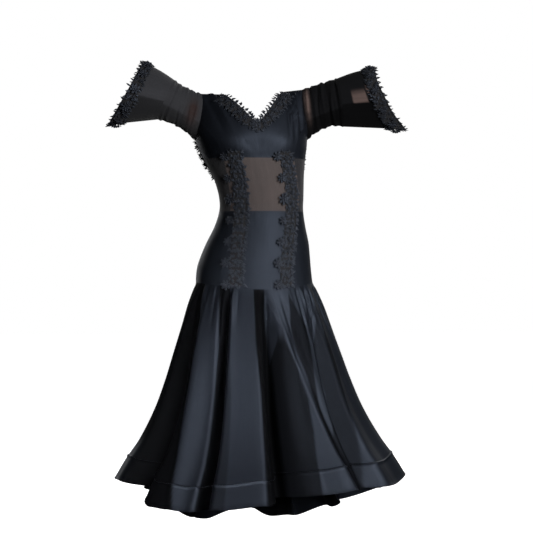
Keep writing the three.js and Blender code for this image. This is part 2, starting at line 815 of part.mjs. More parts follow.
for (const name of ["left", "right"]) {
  const rows = SLEEVES.rows.filter((row) => row[0] === name);
  const turns = name === "left" ? [...sleeveTurns].reverse() : sleeveTurns;
  const tube = turns.map((t) => range(SLEEVE_ROWS).map((j) => sleeve(rows, t, j / SLEEVE_ROWS)));
  const tubeNormals = gridNormals(tube, true);
  const flounce = turns.map((t) => range(CUFF_ROWS).map((j) => cuff(rows, t, j / CUFF_ROWS)));
  const flounceNormals = gridNormals(flounce, true);
  turns.forEach((t, i) => {
    tubeNormals[i][SLEEVE_ROWS] = ringNormal(rows[0], t);
    flounceNormals[i][0] = ringNormal(rows[0], t);
  });
  addHalves(`sleeve_${name}`, tube, tubeNormals, turns);
  addHalves(`cuff_${name}`, flounce, flounceNormals, turns);
}

// ---------------------------------------------------------------- lace

// Moves a place on the body a distance along a direction, staying on its surface.
function walk(place, direction, distance) {
  const steps = Math.max(1, Math.ceil(Math.abs(distance) / WALK_STEP));
  let [angle, height] = place;
  for (let k = 0; k < steps; k += 1) {
    const h = Math.min(height, LACE_TOP);
    const here = body(angle, h);
    const dA = body(angle + 1, h).sub(here);
    const dH = body(angle, h).sub(body(angle, h - 1));
    const goal = direction.clone().multiplyScalar(distance / steps);
    const aa = dA.dot(dA);
    const ah = dA.dot(dH);
    const hh = dH.dot(dH);
    const ga = dA.dot(goal);
    const gh = dH.dot(goal);
    const det = aa * hh - ah * ah;
    angle += (ga * hh - gh * ah) / det;
    height = Math.min(height + (gh * aa - ga * ah) / det, LACE_TOP);
  }
  return [angle, height];
}

// Places of a lace band along an edge: the first column stands past the edge as leaf tips,
// the others lie on the cloth. The band's foot turns to straight down where it meets its twin.
function laceAlong(edge, widthAt, spike, into, downAtEnd) {
  const last = edge.length - 1;
  const ups = edge.map((place, k) => {
    const before = body(...edge[Math.max(k - 1, 0)]);
    const after = body(...edge[Math.min(k + 1, last)]);
    const normal = bodyNormals([[place]])[0][0];
    const across = after.sub(before).cross(normal).multiplyScalar(into).normalize();
    const [angle, height] = place;
    const down = body(angle, height - 1).sub(body(angle, height)).normalize();
    const turn = THREE.MathUtils.smoothstep(k, last - downAtEnd, last);
    return across.lerp(down, turn).normalize();
  });
  return edge.map((place, k) => {
    const tip = k % 2 === 1 ? spike : LACE_NOTCH;
    return range(LACE_COLUMNS + 1).map((c) => {
      if (c === 0) return walk(place, ups[k], -tip);
      const share = (c - 1) / LACE_COLUMNS;
      const ragged = c === LACE_COLUMNS + 1 && k % 2 === 0 ? -LEAF_EDGE : 0;
      return walk(place, ups[k], LACE_ROOT + share * widthAt(k / last) + ragged);
    });
  });
}

// Adds lace from places on the body; a leaf tip may curl away from the body.
function laceOnBody(name, places, curl) {
  const normals = bodyNormals(places);
  const grid = onBody(places);
  grid.forEach((row, i) =>
    row.forEach((p, c) => {
      if (c === 0 && i % 2 === 1) p.addScaledVector(normals[i][c], curl);
    })
  );
  const facing = gridNormals(grid, false);
  const middle = Math.floor(grid.length / 2);
  const flipped = facing[middle][1].dot(normals[middle][1]) < 0;
  const columns = flipped ? [...grid].reverse() : grid;
  const out = flipped ? [...normals].reverse() : normals;
  const relief = (i, j) => (j > 0 && (i + j) % 2 === 0 ? LACE_RELIEF : 0);
  const settings = { thickness: LACE, lift: LACE_LIFT, normals: out, relief, gap: LACE_GAP };
  add(name, wall(columns, settings), LACE_BLACK);
}

const spread = (rows, count) => range(count).map((k) => along(rows, k / count));

const neckEdge = spread([NECK_LACE_START, ...NECKLINE.rows.slice(1)], NECK_LACE_POINTS);
const neckWidth = (share) => mix(NECK_LACE_WIDTH, NECK_LACE_AT_POINT, share ** 2);
const neckLace = laceAlong(neckEdge, neckWidth, LEAF_SPIKE, -1, NECK_LACE_TURN);
laceOnBody("lace_neckline_right", neckLace, 0);
laceOnBody("lace_neckline_left", neckLace.map(mirrored), 0);

const upperBackEdge = [BACK_LACE_START, ...BACK_EDGE_UPPER.rows.slice(0, -1).reverse()];
const backEdge = upperBackEdge.concat(BACK_EDGE_LOWER.rows.slice(1));
const backWidths = backEdge.map((row, k) => [k, row[2]]);
const backLaceEdge = spread(backEdge, BACK_LACE_POINTS);
const backWidth = (share) => along(backWidths, share)[1];
const backLace = laceAlong(backLaceEdge, backWidth, BACK_LEAF_SPIKE, 1, BACK_LACE_TURN);
laceOnBody("lace_back_right", backLace, BACK_LEAF_CURL);
laceOnBody("lace_back_left", backLace.map(mirrored), BACK_LEAF_CURL);

// Front strips: flowers stand on the edge at the wearer's right, leaves on both edges.
function flowerNear(height) {
  const place = (FLOWER_FIRST - height) / FLOWER_SPACING;
  const nearest = FLOWER_FIRST - FLOWER_SPACING * Math.round(place);
  return bump(height, nearest, FLOWER_RADIUS * FLOWER_ROUNDNESS);
}

for (const [name, side] of [
  ["left", -1],
  ["right", 1],
]) {
  const rows = range(STRIP_ROWS).map((k) => mix(STRIP_BOTTOM, STRIP_TOP, k / STRIP_ROWS));
  const places = STRIP_SHARES.map((share) =>
    rows.map((height, k) => {
      const flower = share < 0 ? FLOWER_OVERHANG * flowerNear(height) : 0;
      const leaf = Math.abs(share) === 1 && k % 2 === 0 ? LEAF_EDGE : 0;
      const x = side * STRIP_X + share * (STRIP_HALF_WIDTH + flower - leaf);
      return [Math.asin(x / section(height)[0]) / DEGREE, height];
    })
  );
  const normals = bodyNormals(places);
  const relief = (i, j) => {
    const leaf = (i + j) % 2 === 0 && i > 0 && i < STRIP_SHARES.length - 1 ? LACE_RELIEF : 0;
    return i < 2 ? Math.max(leaf, FLOWER_RISE * flowerNear(rows[j])) : leaf;
  };
  const settings = { thickness: LACE, lift: LACE_LIFT, normals, relief };
  add(`lace_strip_${name}`, wall(onBody(places), settings), LACE_BLACK);
}

for (const name of ["left", "right"]) {
  const rows = SLEEVES.rows.filter((row) => row[0] === name);
  const turns = name === "left" ? [...sleeveTurns].reverse() : sleeveTurns;
  const ring = turns.map((t, i) =>
    range(CUFF_LACE_ROWS).map((j) => {
      const tip = j === CUFF_LACE_ROWS && i % 2 === 0 ? CUFF_LEAF : 0;
      const root = j === 0 && i % 2 === 0 ? CUFF_LEAF : 0;
      return cuff(rows, t, mix(CUFF_LACE_START, 1, j / CUFF_LACE_ROWS) + tip + root);
    })
  );
  const relief = (i, j) => ((i + j) % 2 === 0 ? LACE_RELIEF : 0);
  const settings = { thickness: LACE, lift: LACE_LIFT, closed: true, relief };
  add(`lace_cuff_${name}`, wall(ring, settings), LACE_BLACK);
}

export default group;
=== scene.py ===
import math

import bpy
import numpy as np
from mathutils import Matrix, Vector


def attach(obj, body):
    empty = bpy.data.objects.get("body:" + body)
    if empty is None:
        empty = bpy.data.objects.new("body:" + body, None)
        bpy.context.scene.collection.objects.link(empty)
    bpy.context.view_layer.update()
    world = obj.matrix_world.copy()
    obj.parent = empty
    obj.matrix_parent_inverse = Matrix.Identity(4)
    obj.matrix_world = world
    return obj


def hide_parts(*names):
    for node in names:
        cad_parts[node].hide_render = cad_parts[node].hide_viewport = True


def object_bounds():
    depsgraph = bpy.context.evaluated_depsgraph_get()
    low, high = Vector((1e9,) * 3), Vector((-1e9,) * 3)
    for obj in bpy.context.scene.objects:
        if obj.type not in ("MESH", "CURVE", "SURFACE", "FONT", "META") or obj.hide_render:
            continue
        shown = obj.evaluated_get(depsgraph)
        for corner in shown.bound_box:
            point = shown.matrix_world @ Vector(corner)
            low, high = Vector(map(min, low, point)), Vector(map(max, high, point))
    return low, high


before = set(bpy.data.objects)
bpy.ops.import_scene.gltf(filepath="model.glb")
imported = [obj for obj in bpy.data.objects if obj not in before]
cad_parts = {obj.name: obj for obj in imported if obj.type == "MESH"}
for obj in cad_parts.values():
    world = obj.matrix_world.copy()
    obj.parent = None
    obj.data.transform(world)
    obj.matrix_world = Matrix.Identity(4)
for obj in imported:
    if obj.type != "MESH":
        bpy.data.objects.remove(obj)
cad_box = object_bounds()

# ------------------------------------------------------------------ studio
# A pale floor under the hem, a soft key lamp in front and softer lamps behind and beside, so that
# the black cloth shows by its sheen. Nothing here belongs to the dress.

VIEW_AZIMUTH = math.radians(-10)
CAMERA_DISTANCE = 5.7
FRAME_RIGHT = 0.024
FRAME_HEIGHT = -0.175
LENS = 135
FLOOR_BELOW_HEM = 0.11
FLOOR_SIZE = 40
FLOOR_COLOUR = (0.93, 0.93, 0.93, 1)
FLOOR_GLOW = 1.1
# azimuth round the dress from straight in front, rise, distance, width, length, power, the height
# that the lamp is aimed at and how wide its beam spreads
LAMPS = {
    "key": (25, 13, 3.8, 1.8, 2.2, 140, -0.2, 180),
    "skirt_key": (-26, 4, 3.6, 0.6, 0.5, 1.5, -0.64, 22),
    "fill": (-30, 0, 4.6, 1.4, 2.0, 4, -0.2, 180),
    "back_left": (-150, 14, 3.4, 0.6, 2.4, 22, -0.2, 180),
    "back_right": (140, 26, 3.6, 0.8, 2.2, 20, -0.2, 180),
    "back": (180, 20, 4.0, 1.4, 2.0, 44, -0.2, 180),
}


def placed(name, data):
    """Puts an object that holds the data into the scene."""
    holder = bpy.data.objects.new(name, data)
    bpy.context.scene.collection.objects.link(holder)
    return holder


class Wire:
    """A socket that adds Math nodes when it is used in Python sums."""

    def __init__(self, tree, socket):
        self.tree = tree
        self.socket = socket

    def math(self, operation, *values):
        return node(self.tree, "ShaderNodeMath", {"operation": operation}, dict(enumerate(values)))

    def __add__(self, other):
        return self.math("ADD", self, other)

    def __sub__(self, other):
        return self.math("SUBTRACT", self, other)

    def __rsub__(self, other):
        return self.math("SUBTRACT", other, self)

    def __mul__(self, other):
        return self.math("MULTIPLY", self, other)

    def __pow__(self, other):
        return self.math("POWER", self, other)

    __radd__ = __add__
    __rmul__ = __mul__


def fill(tree, made, values):
    """Gives the sockets of a node their values or wires."""
    for key, value in values.items():
        if isinstance(value, Wire):
            tree.links.new(value.socket, made.inputs[key])
        else:
            made.inputs[key].default_value = value


def node(tree, kind, settings, values, output=0):
    """Adds a node: its type, its settings, then the values or wires of its sockets."""
    made = tree.nodes.new(kind)
    for key, value in settings.items():
        setattr(made, key, value)
    fill(tree, made, values)
    return Wire(tree, made.outputs[output])


def new_material(name):
    material = bpy.data.materials.new(name)
    material.use_nodes = True
    return material, material.node_tree, material.node_tree.nodes["Principled BSDF"]


def studio_camera():
    data = bpy.data.cameras.new("camera")
    data.lens = LENS
    camera = placed("camera", data)
    right = (math.cos(VIEW_AZIMUTH), math.sin(VIEW_AZIMUTH))
    ahead = (-math.sin(VIEW_AZIMUTH), math.cos(VIEW_AZIMUTH))
    camera.location = (
        right[0] * FRAME_RIGHT - ahead[0] * CAMERA_DISTANCE,
        right[1] * FRAME_RIGHT - ahead[1] * CAMERA_DISTANCE,
        FRAME_HEIGHT,
    )
    camera.rotation_euler = (math.radians(90), 0, VIEW_AZIMUTH)
    bpy.context.scene.camera = camera


def studio_lamp(name, azimuth, rise, distance, width, length, power, aim, spread):
    data = bpy.data.lights.new(name, "AREA")
    data.shape = "RECTANGLE"
    data.size = width
    data.size_y = length
    data.energy = power
    data.spread = math.radians(spread)
    lamp = placed(name, data)
    turn, rise = math.radians(azimuth), math.radians(rise)
    reach = distance * math.cos(rise)
    lamp.location = (math.sin(turn) * reach, -math.cos(turn) * reach, aim + distance * math.sin(rise))
    lamp.rotation_euler = (math.radians(90) - rise, 0, turn)


def studio_floor():
    half = FLOOR_SIZE / 2
    level = cad_box[0][2] - FLOOR_BELOW_HEM
    mesh = bpy.data.meshes.new("floor")
    corners = [(-half, -half, level), (half, -half, level), (half, half, level), (-half, half, level)]
    mesh.from_pydata(corners, [], [(0, 1, 2, 3)])
    floor = placed("floor", mesh)
    pale, tree, shader = new_material("pale_floor")
    finish = {
        "Base Color": FLOOR_COLOUR,
        "Roughness": 0.9,
        "Specular IOR Level": 0,
        "Emission Color": FLOOR_COLOUR,
        "Emission Strength": FLOOR_GLOW,
    }
    fill(tree, shader, finish)
    mesh.materials.append(pale)
    floor.visible_diffuse = False
    floor.visible_glossy = False


studio_camera()
studio_floor()
for lamp_name, lamp_values in LAMPS.items():
    studio_lamp(lamp_name, *lamp_values)
surround = bpy.data.worlds.new("surround")
surround.use_nodes = True
surround.node_tree.nodes["Background"].inputs["Color"].default_value = (1, 1, 1, 1)
surround.cycles_visibility.diffuse = False
surround.cycles_visibility.glossy = False
surround.cycles_visibility.transmission = False
bpy.context.scene.world = surround
bpy.context.scene.view_settings.view_transform = "Standard"

# ------------------------------------------------------------------ bodice
# Front, two side panels and two back wings in blue-black stretch satin, cut close to the body and
# sewn edge to edge. The front straps are gathered where they reach the shoulder.

MM = 0.001
DEGREE = math.pi / 180
SATIN_THICK = 0.9
SHARP_FROM = math.radians(60)
SHOULDER_TOP = 324
UNDERBUST = 130
SIDE_SEAM = 90
# height, half width, front depth, back depth, shift across, shift back
BODY = [
    (-262, 170, 119, 132, -5, 6),
    (-239, 168, 118, 134, -7, 7),
    (-213, 167, 118, 137, -10, 8),
    (-176, 163, 116, 136, -10, 8),
    (-142, 156, 110, 126, -6, 6),
    (-108, 147, 102, 112, -1, 2),
    (-60, 130, 94, 95, 5, -4),
    (-14, 120, 90, 84, 8, -8),
    (20, 121, 90, 83, 8, -8),
    (51, 125, 93, 87, 5, -6),
    (82, 131, 98, 92, 0, -4),
    (130, 146, 106, 98, -11, 0),
    (165, 156, 114, 102, -16, 2),
    (190, 161, 116, 104, -19, 4),
    (215, 163, 111, 103, -19, 6),
    (240, 160, 101, 98, -18, 8),
    (265, 156, 86, 86, -17, 9),
    (285, 153, 70, 70, -16, 10),
    (300, 151, 54, 54, -16, 10),
    (312, 150, 37, 37, -16, 10),
    (320, 150, 19, 19, -16, 10),
    (324, 150, 0.1, 0.1, -16, 10),
]
BUST_ANGLE, BUST_SPREAD, BUST_HEIGHT, BUST_TALL = 33, 21, 170, 36
BUST_RISE, CLEAVAGE_DIP, BUST_WIDENS = 8, 5, 0.3
SHOULDER_SLOPE, NECK_DROP, SLOPE_FROM = 0.055, 10, 150
ARMHOLE_BOTTOM = 183
ARMHOLE_FRONT, ARMHOLE_BACK, ARMHOLE_TOP = 18, 30, 12
PRINCESS = [(43, 130), (44, 158), (48, 186), (58, 212)]
PRINCESS_TURN = 105
NECKLINE = [(35, 324), (27, 309), (21, 295), (15, 277), (10, 262), (5, 246), (0, 230)]
BACK_EDGE = [(112, 130), (111, 158), (116, 186), (129, 212), (137, 238), (140, 268), (142, 295), (146, 324)]
# Folds of the front as they lie, in the plane across the front: from x, z to x, z, half width, depth
BODICE_FOLDS = [
    (-136, 322, -84, 196, 8, 3.4),
    (-122, 322, -66, 232, 6, -3.6),
    (-108, 322, -58, 262, 6, 2.4),
    (-150, 300, -104, 182, 7, -2.6),
    (76, 322, 76, 180, 4, -4.2),
    (85, 324, 84, 176, 4, 3.6),
    (94, 324, 91, 166, 4, -4.6),
    (103, 324, 102, 172, 4, 4.2),
    (112, 324, 112, 164, 4, -4.4),
    (121, 322, 123, 176, 4, 3.6),
    (130, 318, 132, 190, 4, -3.0),
    (-88, 150, 80, 146, 14, 0.9),
    (-60, 178, -20, 140, 9, -0.8),
    (52, 182, 30, 140, 8, -0.8),
]


def smooth(table, x):
    """Values of a table's later columns at x, eased from row to row."""
    rows = np.array(table, float)
    x = np.asarray(x, float)
    ends = np.arange(len(rows))
    before, after = rows[np.maximum(ends - 1, 0)], rows[np.minimum(ends + 1, len(rows) - 1)]
    slopes = (after[:, 1:] - before[:, 1:]) / (after[:, :1] - before[:, :1])
    i = np.clip(np.searchsorted(rows[:, 0], x) - 1, 0, len(rows) - 2)
    span = (rows[i + 1, 0] - rows[i, 0])[..., None]
    f = np.clip((x[..., None] - rows[i, 0][..., None]) / span, 0, 1)
    start, end = rows[i, 1:], rows[i + 1, 1:]
    return (
        (2 * f**3 - 3 * f**2 + 1) * start
        + (f**3 - 2 * f**2 + f) * slopes[i] * span
        + (3 * f**2 - 2 * f**3) * end
        + (f**3 - f**2) * slopes[i + 1] * span
    )


def hump(x, middle, spread):
    return np.exp(-(((x - middle) / spread) ** 2))


def ease(x, low, high):
    f = np.clip((x - low) / (high - low), 0, 1)
    return f * f * (3 - 2 * f)


def body(angle, height):
    """Points of the fitted part, in mm: 0 degrees at the centre front, 90 at the right of the view."""
    angle, height = np.broadcast_arrays(np.asarray(angle, float), np.asarray(height, float))
    half, front, back, shift_x, shift_y = np.moveaxis(smooth(BODY, height), -1, 0)
    turn = np.abs((angle + 180) % 360 - 180)
    bust = hump(height, BUST_HEIGHT, BUST_TALL)
    rise, dip = BUST_RISE * hump(turn, BUST_ANGLE, BUST_SPREAD), CLEAVAGE_DIP * hump(turn, 0, BUST_SPREAD)
    swell = (rise - dip) * bust
    sine, cosine = np.sin(angle * DEGREE), np.cos(angle * DEGREE)
    depth = np.where(cosine > 0, front + swell, back)
    slope = np.maximum(0, height - SLOPE_FROM) / (SHOULDER_TOP - SLOPE_FROM)
    across = half * sine
    return np.stack(
        [
            shift_x + across + swell * BUST_WIDENS * sine,
            shift_y - depth * cosine,
            height + slope * (SHOULDER_SLOPE * across - NECK_DROP * (1 - np.abs(sine))),
        ],
        axis=-1,
    )


def on_body(places):
    return body(*np.moveaxis(places, -1, 0))


def armhole(turn):
    """Angle and height on the armhole, turning down the front and up the back."""
    turn = np.asarray(turn, float)
    up = np.where(turn <= 180, turn, 360 - turn)
    middle, half = (SHOULDER_TOP + ARMHOLE_BOTTOM) / 2, (SHOULDER_TOP - ARMHOLE_BOTTOM) / 2
    round_ = np.sin(up * DEGREE)
    widest = np.where(turn <= 180, ARMHOLE_FRONT, ARMHOLE_BACK)
    spread = np.where(up < 90, ARMHOLE_TOP + (widest - ARMHOLE_TOP) * round_, widest * round_)
    angle = SIDE_SEAM + np.where(turn <= 180, -spread, spread)
    return np.stack([angle, middle + half * np.cos(up * DEGREE)], axis=-1)


def line(*corners, count):
    """Evenly spaced places along a line with corners."""
    corners = np.array(corners, float)
    at = np.linspace(0, len(corners) - 1, count)
    knots = np.arange(len(corners))
    return np.stack([np.interp(at, knots, corners[:, c]) for c in (0, 1)], axis=-1)


def bent(corners, count):
    """Evenly spaced places along a smooth line through places."""
    rows = [(k, *place) for k, place in enumerate(corners)]
    return smooth(rows, np.linspace(0, len(rows) - 1, count))


def patch(bottom, top, left, right, climb=lambda v: v):
    """A grid of places blended from the four edges of a panel."""
    u = np.linspace(0, 1, len(bottom))[:, None, None]
    v = climb(np.linspace(0, 1, len(left)))[None, :, None]
    ends = bottom[:, None] * (1 - v) + top[:, None] * v + left[None] * (1 - u) + right[None] * u
    low = bottom[0] * (1 - u) + bottom[-1] * u
    high = top[0] * (1 - u) + top[-1] * u
    return ends - (low * (1 - v) + high * v)


def closing_up(v):
    return np.sin(v * math.pi / 2)


def other_side(places):
    flipped = places[::-1].copy()
    flipped[..., 0] *= -1
    return flipped


def unit(vectors):
    return vectors / np.maximum(np.linalg.norm(vectors, axis=-1, keepdims=True), 1e-9)


def grid_normals(grid, closed=False):
    if closed:
        across = np.roll(grid, -1, 0) - np.roll(grid, 1, 0)
    else:
        across = np.gradient(grid, axis=0)
    return unit(np.cross(across, np.gradient(grid, axis=1)))


# shares of its length between which a fold rises, and between which it dies away
FOLD_RISES, FOLD_DIES = (-0.04, 0.08), (0.45, 1.05)
FACING_FRONT = 0.2


def lay_folds(grid, normals, folds):
    """How far soft ridges and troughs move the points of the front out or in."""
    moved = np.zeros(grid.shape[:2])
    for x0, z0, x1, z1, half_width, depth in folds:
        run = np.array([x1 - x0, z1 - z0])
        length = np.linalg.norm(run)
        off = grid[..., [0, 2]] - np.array([x0, z0])
        share = off @ run / length**2
        aside = (off[..., 0] * run[1] - off[..., 1] * run[0]) / length
        reach = ease(share, *FOLD_RISES) * (1 - ease(share, *FOLD_DIES))
        moved += depth * hump(aside, 0, half_width) * reach
    return moved * (normals[..., 1] < FACING_FRONT)


def shell_faces(m, n, closed):
    """Quads over m by n points and as many behind them: the outer side, the inner side, the rims."""
    columns = m if closed else m - 1
    i, j = np.meshgrid(np.arange(columns), np.arange(n - 1), indexing="ij")
    a, b = i * n + j, (i + 1) % m * n + j
    outer = np.stack([a, b, b + 1, a + 1], axis=-1).reshape(-1, 4)
    inner = np.stack([a, a + 1, b + 1, b], axis=-1).reshape(-1, 4) + m * n
    foot, foot_next = np.arange(columns) * n, (np.arange(columns) + 1) % m * n
    rims = [
        np.stack([foot + m * n, foot_next + m * n, foot_next, foot], axis=-1),
        np.stack([foot, foot_next, foot_next + m * n, foot + m * n], axis=-1) + n - 1,
    ]
    if not closed:
        side, far = np.arange(n - 1), (m - 1) * n + np.arange(n - 1)
        rims.append(np.stack([side + m * n, side, side + 1, side + 1 + m * n], axis=-1))
        rims.append(np.stack([far + m * n, far + 1 + m * n, far + 1, far], axis=-1))
    return np.concatenate([outer, inner, *rims])


def lay_flat(mesh, faces, wide, tall, closed):
    """Gives each corner of a face how far across and up the cloth it lies, in metres."""
    m, n = len(wide), len(tall)
    corner = np.zeros(len(mesh.loops), np.int32)
    mesh.loops.foreach_get("vertex_index", corner)
    place = corner % (m * n)
    column, row = place // n, place % n
    if closed:
        first = np.repeat(faces[:, 0] % (m * n) // n, 4)
        column = np.where(column < first - 1, column + m, column)
        wide = np.append(wide, wide[-1] + wide[1])
    uv = np.stack([wide[np.minimum(column, len(wide) - 1)], tall[row]], axis=-1) * MM
    mesh.uv_layers.new(name="cloth").data.foreach_set("uv", uv.astype(np.float32).ravel())


def cloth(name, grid, material, slot, nodes=None, thick=SATIN_THICK, closed=False, normals=None, **sewn):
    """A thin closed shell of cloth whose outer side is a grid of points in mm. It stands for the
    nodes, or else for the one that its name gives before the last word."""
    normals = grid_normals(grid, closed) if normals is None else normals
    m, n = grid.shape[:2]
    steps_across = np.linalg.norm(np.diff(grid, axis=0), axis=-1)
    steps_up = np.linalg.norm(np.diff(grid, axis=1), axis=-1)
    wide = np.concatenate([np.zeros((1, n)), np.cumsum(steps_across, axis=0)]).mean(1)
    tall = np.concatenate([np.zeros((m, 1)), np.cumsum(steps_up, axis=1)], axis=1).mean(0)
    points = np.concatenate([grid.reshape(-1, 3), (grid - normals * thick).reshape(-1, 3)]) * MM
    faces = shell_faces(m, n, closed)
    mesh = bpy.data.meshes.new(name)
    mesh.from_pydata(points.tolist(), [], faces.tolist())
    lay_flat(mesh, faces, wide, tall, closed)
    to_seam = np.minimum(tall, tall[-1] - tall)[None, :] * MM
    if not closed:
        to_seam = np.minimum(to_seam, np.minimum(wide, wide[-1] - wide)[:, None] * MM)
    for mark, amount in {"to_seam": to_seam, **sewn.get("marks", {})}.items():
        drawn = np.tile(np.broadcast_to(amount, (m, n)).ravel(), 2)
        mesh.attributes.new(mark, "FLOAT", "POINT").data.foreach_set("value", drawn.astype(np.float32))
    mesh.shade_smooth()
    mesh.set_sharp_from_angle(angle=SHARP_FROM)
    mesh.materials.append(material)
    piece = placed(name, mesh)
    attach(piece, "root")
    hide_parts(*(nodes or [name.rpartition("_")[0]]))
    closing = np.linalg.norm(grid[0] - grid[-1], axis=-1).max() if closed else 0
    gather = sewn.get("gather", 1)
    width, length = (steps_across.sum(0).max() + closing) * MM, steps_up.sum(1).max() * MM * gather
    quads = np.linalg.norm(np.cross(np.diff(grid[:, :-1], axis=0), np.diff(grid[:-1], axis=1)), axis=-1)
    area = quads.sum() * MM**2 * gather * (m / (m - 1) if closed else 1)


def noise(tree, where, scale, detail=3.0, output=0):
    return node(tree, "ShaderNodeTexNoise", {}, {"Vector": where, "Scale": scale, "Detail": detail}, output)


def stretched(tree, where, scale):
    return node(tree, "ShaderNodeMapping", {}, {"Vector": where, "Scale": scale})


def blend(tree, share, first, second):
    settings = {"data_type": "RGBA"}
    return node(tree, "ShaderNodeMix", settings, {0: share, 6: first, 7: second}, 2)


def ranged(tree, value, low, high, to_low, to_high):
    ends = {"From Min": low, "From Max": high, "To Min": to_low, "To Max": to_high}
    return node(tree, "ShaderNodeMapRange", {"clamp": True}, {"Value": value, **ends})


def marked_by(tree, name):
    return node(tree, "ShaderNodeAttribute", {"attribute_name": name}, {}, "Fac")


def bumped(tree, height):
    return node(tree, "ShaderNodeBump", {}, {"Height": height, "Strength": 1.0, "Distance": 1.0})


def object_place(tree):
    return node(tree, "ShaderNodeTexCoord", {}, {}, "Object")


def cloth_place(tree):
    return node(tree, "ShaderNodeUVMap", {"uv_map": "cloth"}, {})


SATIN_DARK = (0.0036, 0.0041, 0.0058, 1)
SATIN_LIGHT = (0.0058, 0.0066, 0.0092, 1)
SATIN_THREADS = 2600
PUCKER_WIDTH = 0.012
SATIN_SPECULAR = 0.5
SATIN_TINT = (0.64, 0.76, 1.0, 1)
SATIN_ROUGHNESS = 0.6
# the finish that paints shade on the skirt: a darker base colour, little specular and more roughness
PAINTED_SHADE_BLACK, PAINTED_SHADE_SPECULAR, PAINTED_SHADE_ROUGHNESS = (0.0022, 0.0024, 0.0032, 1), 0.05, 0.8


def satin_material(name, roughness=SATIN_ROUGHNESS, with_painted_shade=False):
    """Stretch satin: long floats across fine ribs, a soft sheen that is never quite even. With painted
    shade, it mixes in a darker, rougher, barely shiny finish where its mark says: shade painted into the
    skirt's troughs and down its left side."""
    material, tree, shader = new_material(name)
    cloth_uv = cloth_place(tree)
    broad = noise(tree, object_place(tree), 9.0)
    streak = noise(tree, stretched(tree, cloth_uv, (90, 9, 1)), 1.0)
    share = broad * 0.7 + streak * 0.3
    weave = {"Vector": cloth_uv, "Scale": SATIN_THREADS / 6.28, "Distortion": 0.6, "Detail": 1.0}
    ribs = node(tree, "ShaderNodeTexWave", {"bands_direction": "DIAGONAL"}, weave)
    crumple = noise(tree, stretched(tree, cloth_uv, (60, 14, 1)), 1.0, 2.0)
    by_seam = ranged(tree, marked_by(tree, "to_seam"), 0.0, PUCKER_WIDTH, 1.0, 0.0)
    pucker = noise(tree, cloth_uv, 170.0, 1.0) * by_seam
    bump = bumped(tree, ribs * 0.00002 + crumple * 0.0006 + pucker * 0.0005)
    finish = {
        "Base Color": blend(tree, share, SATIN_DARK, SATIN_LIGHT),
        "Roughness": share * 0.1 + (roughness - 0.05),
        "Specular IOR Level": SATIN_SPECULAR,
        "Specular Tint": SATIN_TINT,
        "Normal": bump,
    }
    fill(tree, shader, finish)
    # painted shade: where marked, a darker, barely shiny finish is mixed in
    if with_painted_shade:
        matt = {
            "Base Color": PAINTED_SHADE_BLACK,
            "Roughness": PAINTED_SHADE_ROUGHNESS,
            "Specular IOR Level": PAINTED_SHADE_SPECULAR,
            "Normal": bump,
        }
        sides = {
            0: marked_by(tree, "painted_shade"),
            1: Wire(tree, shader.outputs["BSDF"]),
            2: node(tree, "ShaderNodeBsdfPrincipled", {}, matt),
        }
        surface = node(tree, "ShaderNodeMixShader", {}, sides)
        fill(tree, tree.nodes["Material Output"], {"Surface": surface})
    return material


satin = satin_material("stretch_satin")

front_edge = [*PRINCESS, *armhole(np.arange(PRINCESS_TURN, -1, -15))]
FRONT_COLUMNS, FRONT_ROWS = 93, 74
SIDE_COLUMNS, SIDE_ROWS = 31, 41
WING_COLUMNS, WING_ROWS = 19, 85
half_top = [tuple(armhole(0)), (56, SHOULDER_TOP), *NECKLINE]
top_line = [(-a, h) for a, h in half_top] + [(a, h) for a, h in half_top[::-1][1:]]
front_top = line(*top_line, count=FRONT_COLUMNS)
front_bottom = line((-PRINCESS[0][0], UNDERBUST), (PRINCESS[0][0], UNDERBUST), count=FRONT_COLUMNS)
right_edge = bent(front_edge, FRONT_ROWS)
left_edge = right_edge * np.array([-1, 1])
bodice_front = on_body(patch(front_bottom, front_top, left_edge, right_edge, closing_up))
front_normals = grid_normals(bodice_front)
bodice_front += front_normals * lay_folds(bodice_front, front_normals, BODICE_FOLDS)[..., None]
cloth("bodice_front_satin", bodice_front, satin, "satin")

underarm = armhole(np.linspace(PRINCESS_TURN, 180, SIDE_COLUMNS))
princess = bent([*PRINCESS, tuple(armhole(PRINCESS_TURN))], SIDE_ROWS)
side_seam = line((SIDE_SEAM, UNDERBUST), (SIDE_SEAM, ARMHOLE_BOTTOM), count=SIDE_ROWS)
side_foot = line((PRINCESS[0][0], UNDERBUST), (SIDE_SEAM, UNDERBUST), count=SIDE_COLUMNS)
side_places = patch(side_foot, underarm, princess, side_seam)
for side, places in (("right", side_places), ("left", other_side(side_places))):
    cloth(f"bodice_side_{side}_satin", on_body(places), satin, "satin")

under_armhole = line((SIDE_SEAM, UNDERBUST), (SIDE_SEAM, ARMHOLE_BOTTOM), count=5)[:-1]
wing_front = bent([*under_armhole, *armhole(np.arange(180, 361, 15))], WING_ROWS)
wing_climb = np.linspace(0, 1, WING_ROWS)
wing_share = wing_climb + (closing_up(wing_climb) - wing_climb) * wing_climb**3
wing_back = smooth([(k, *place) for k, place in enumerate(BACK_EDGE)], wing_share * (len(BACK_EDGE) - 1))
wing_foot = line((SIDE_SEAM, UNDERBUST), BACK_EDGE[0], count=WING_COLUMNS)
wing_top = line(tuple(armhole(360)), BACK_EDGE[-1], count=WING_COLUMNS)
wing_places = patch(wing_foot, wing_top, wing_front, wing_back, closing_up)
for side, places in (("right", wing_places), ("left", other_side(wing_places))):
    cloth(f"bodice_back_{side}_satin", on_body(places), satin, "satin")

# ------------------------------------------------------------------ midriff
# A window of sheer stretch mesh from the underbust to the waist, brown where it is thinnest at the
# centre and doubled at the sides, sewn to the satin above and below.

MESH_THICK = 0.7
MIDRIFF_BOTTOM = -19
CENTRE_COLUMNS, MIDRIFF_ROWS, BACK_COLUMNS = 61, 51, 97
LOWER_BACK_EDGE = [(112, 130), (116, 110), (125, 90), (137, 74), (151, 61), (166, 52), (180, 48)]
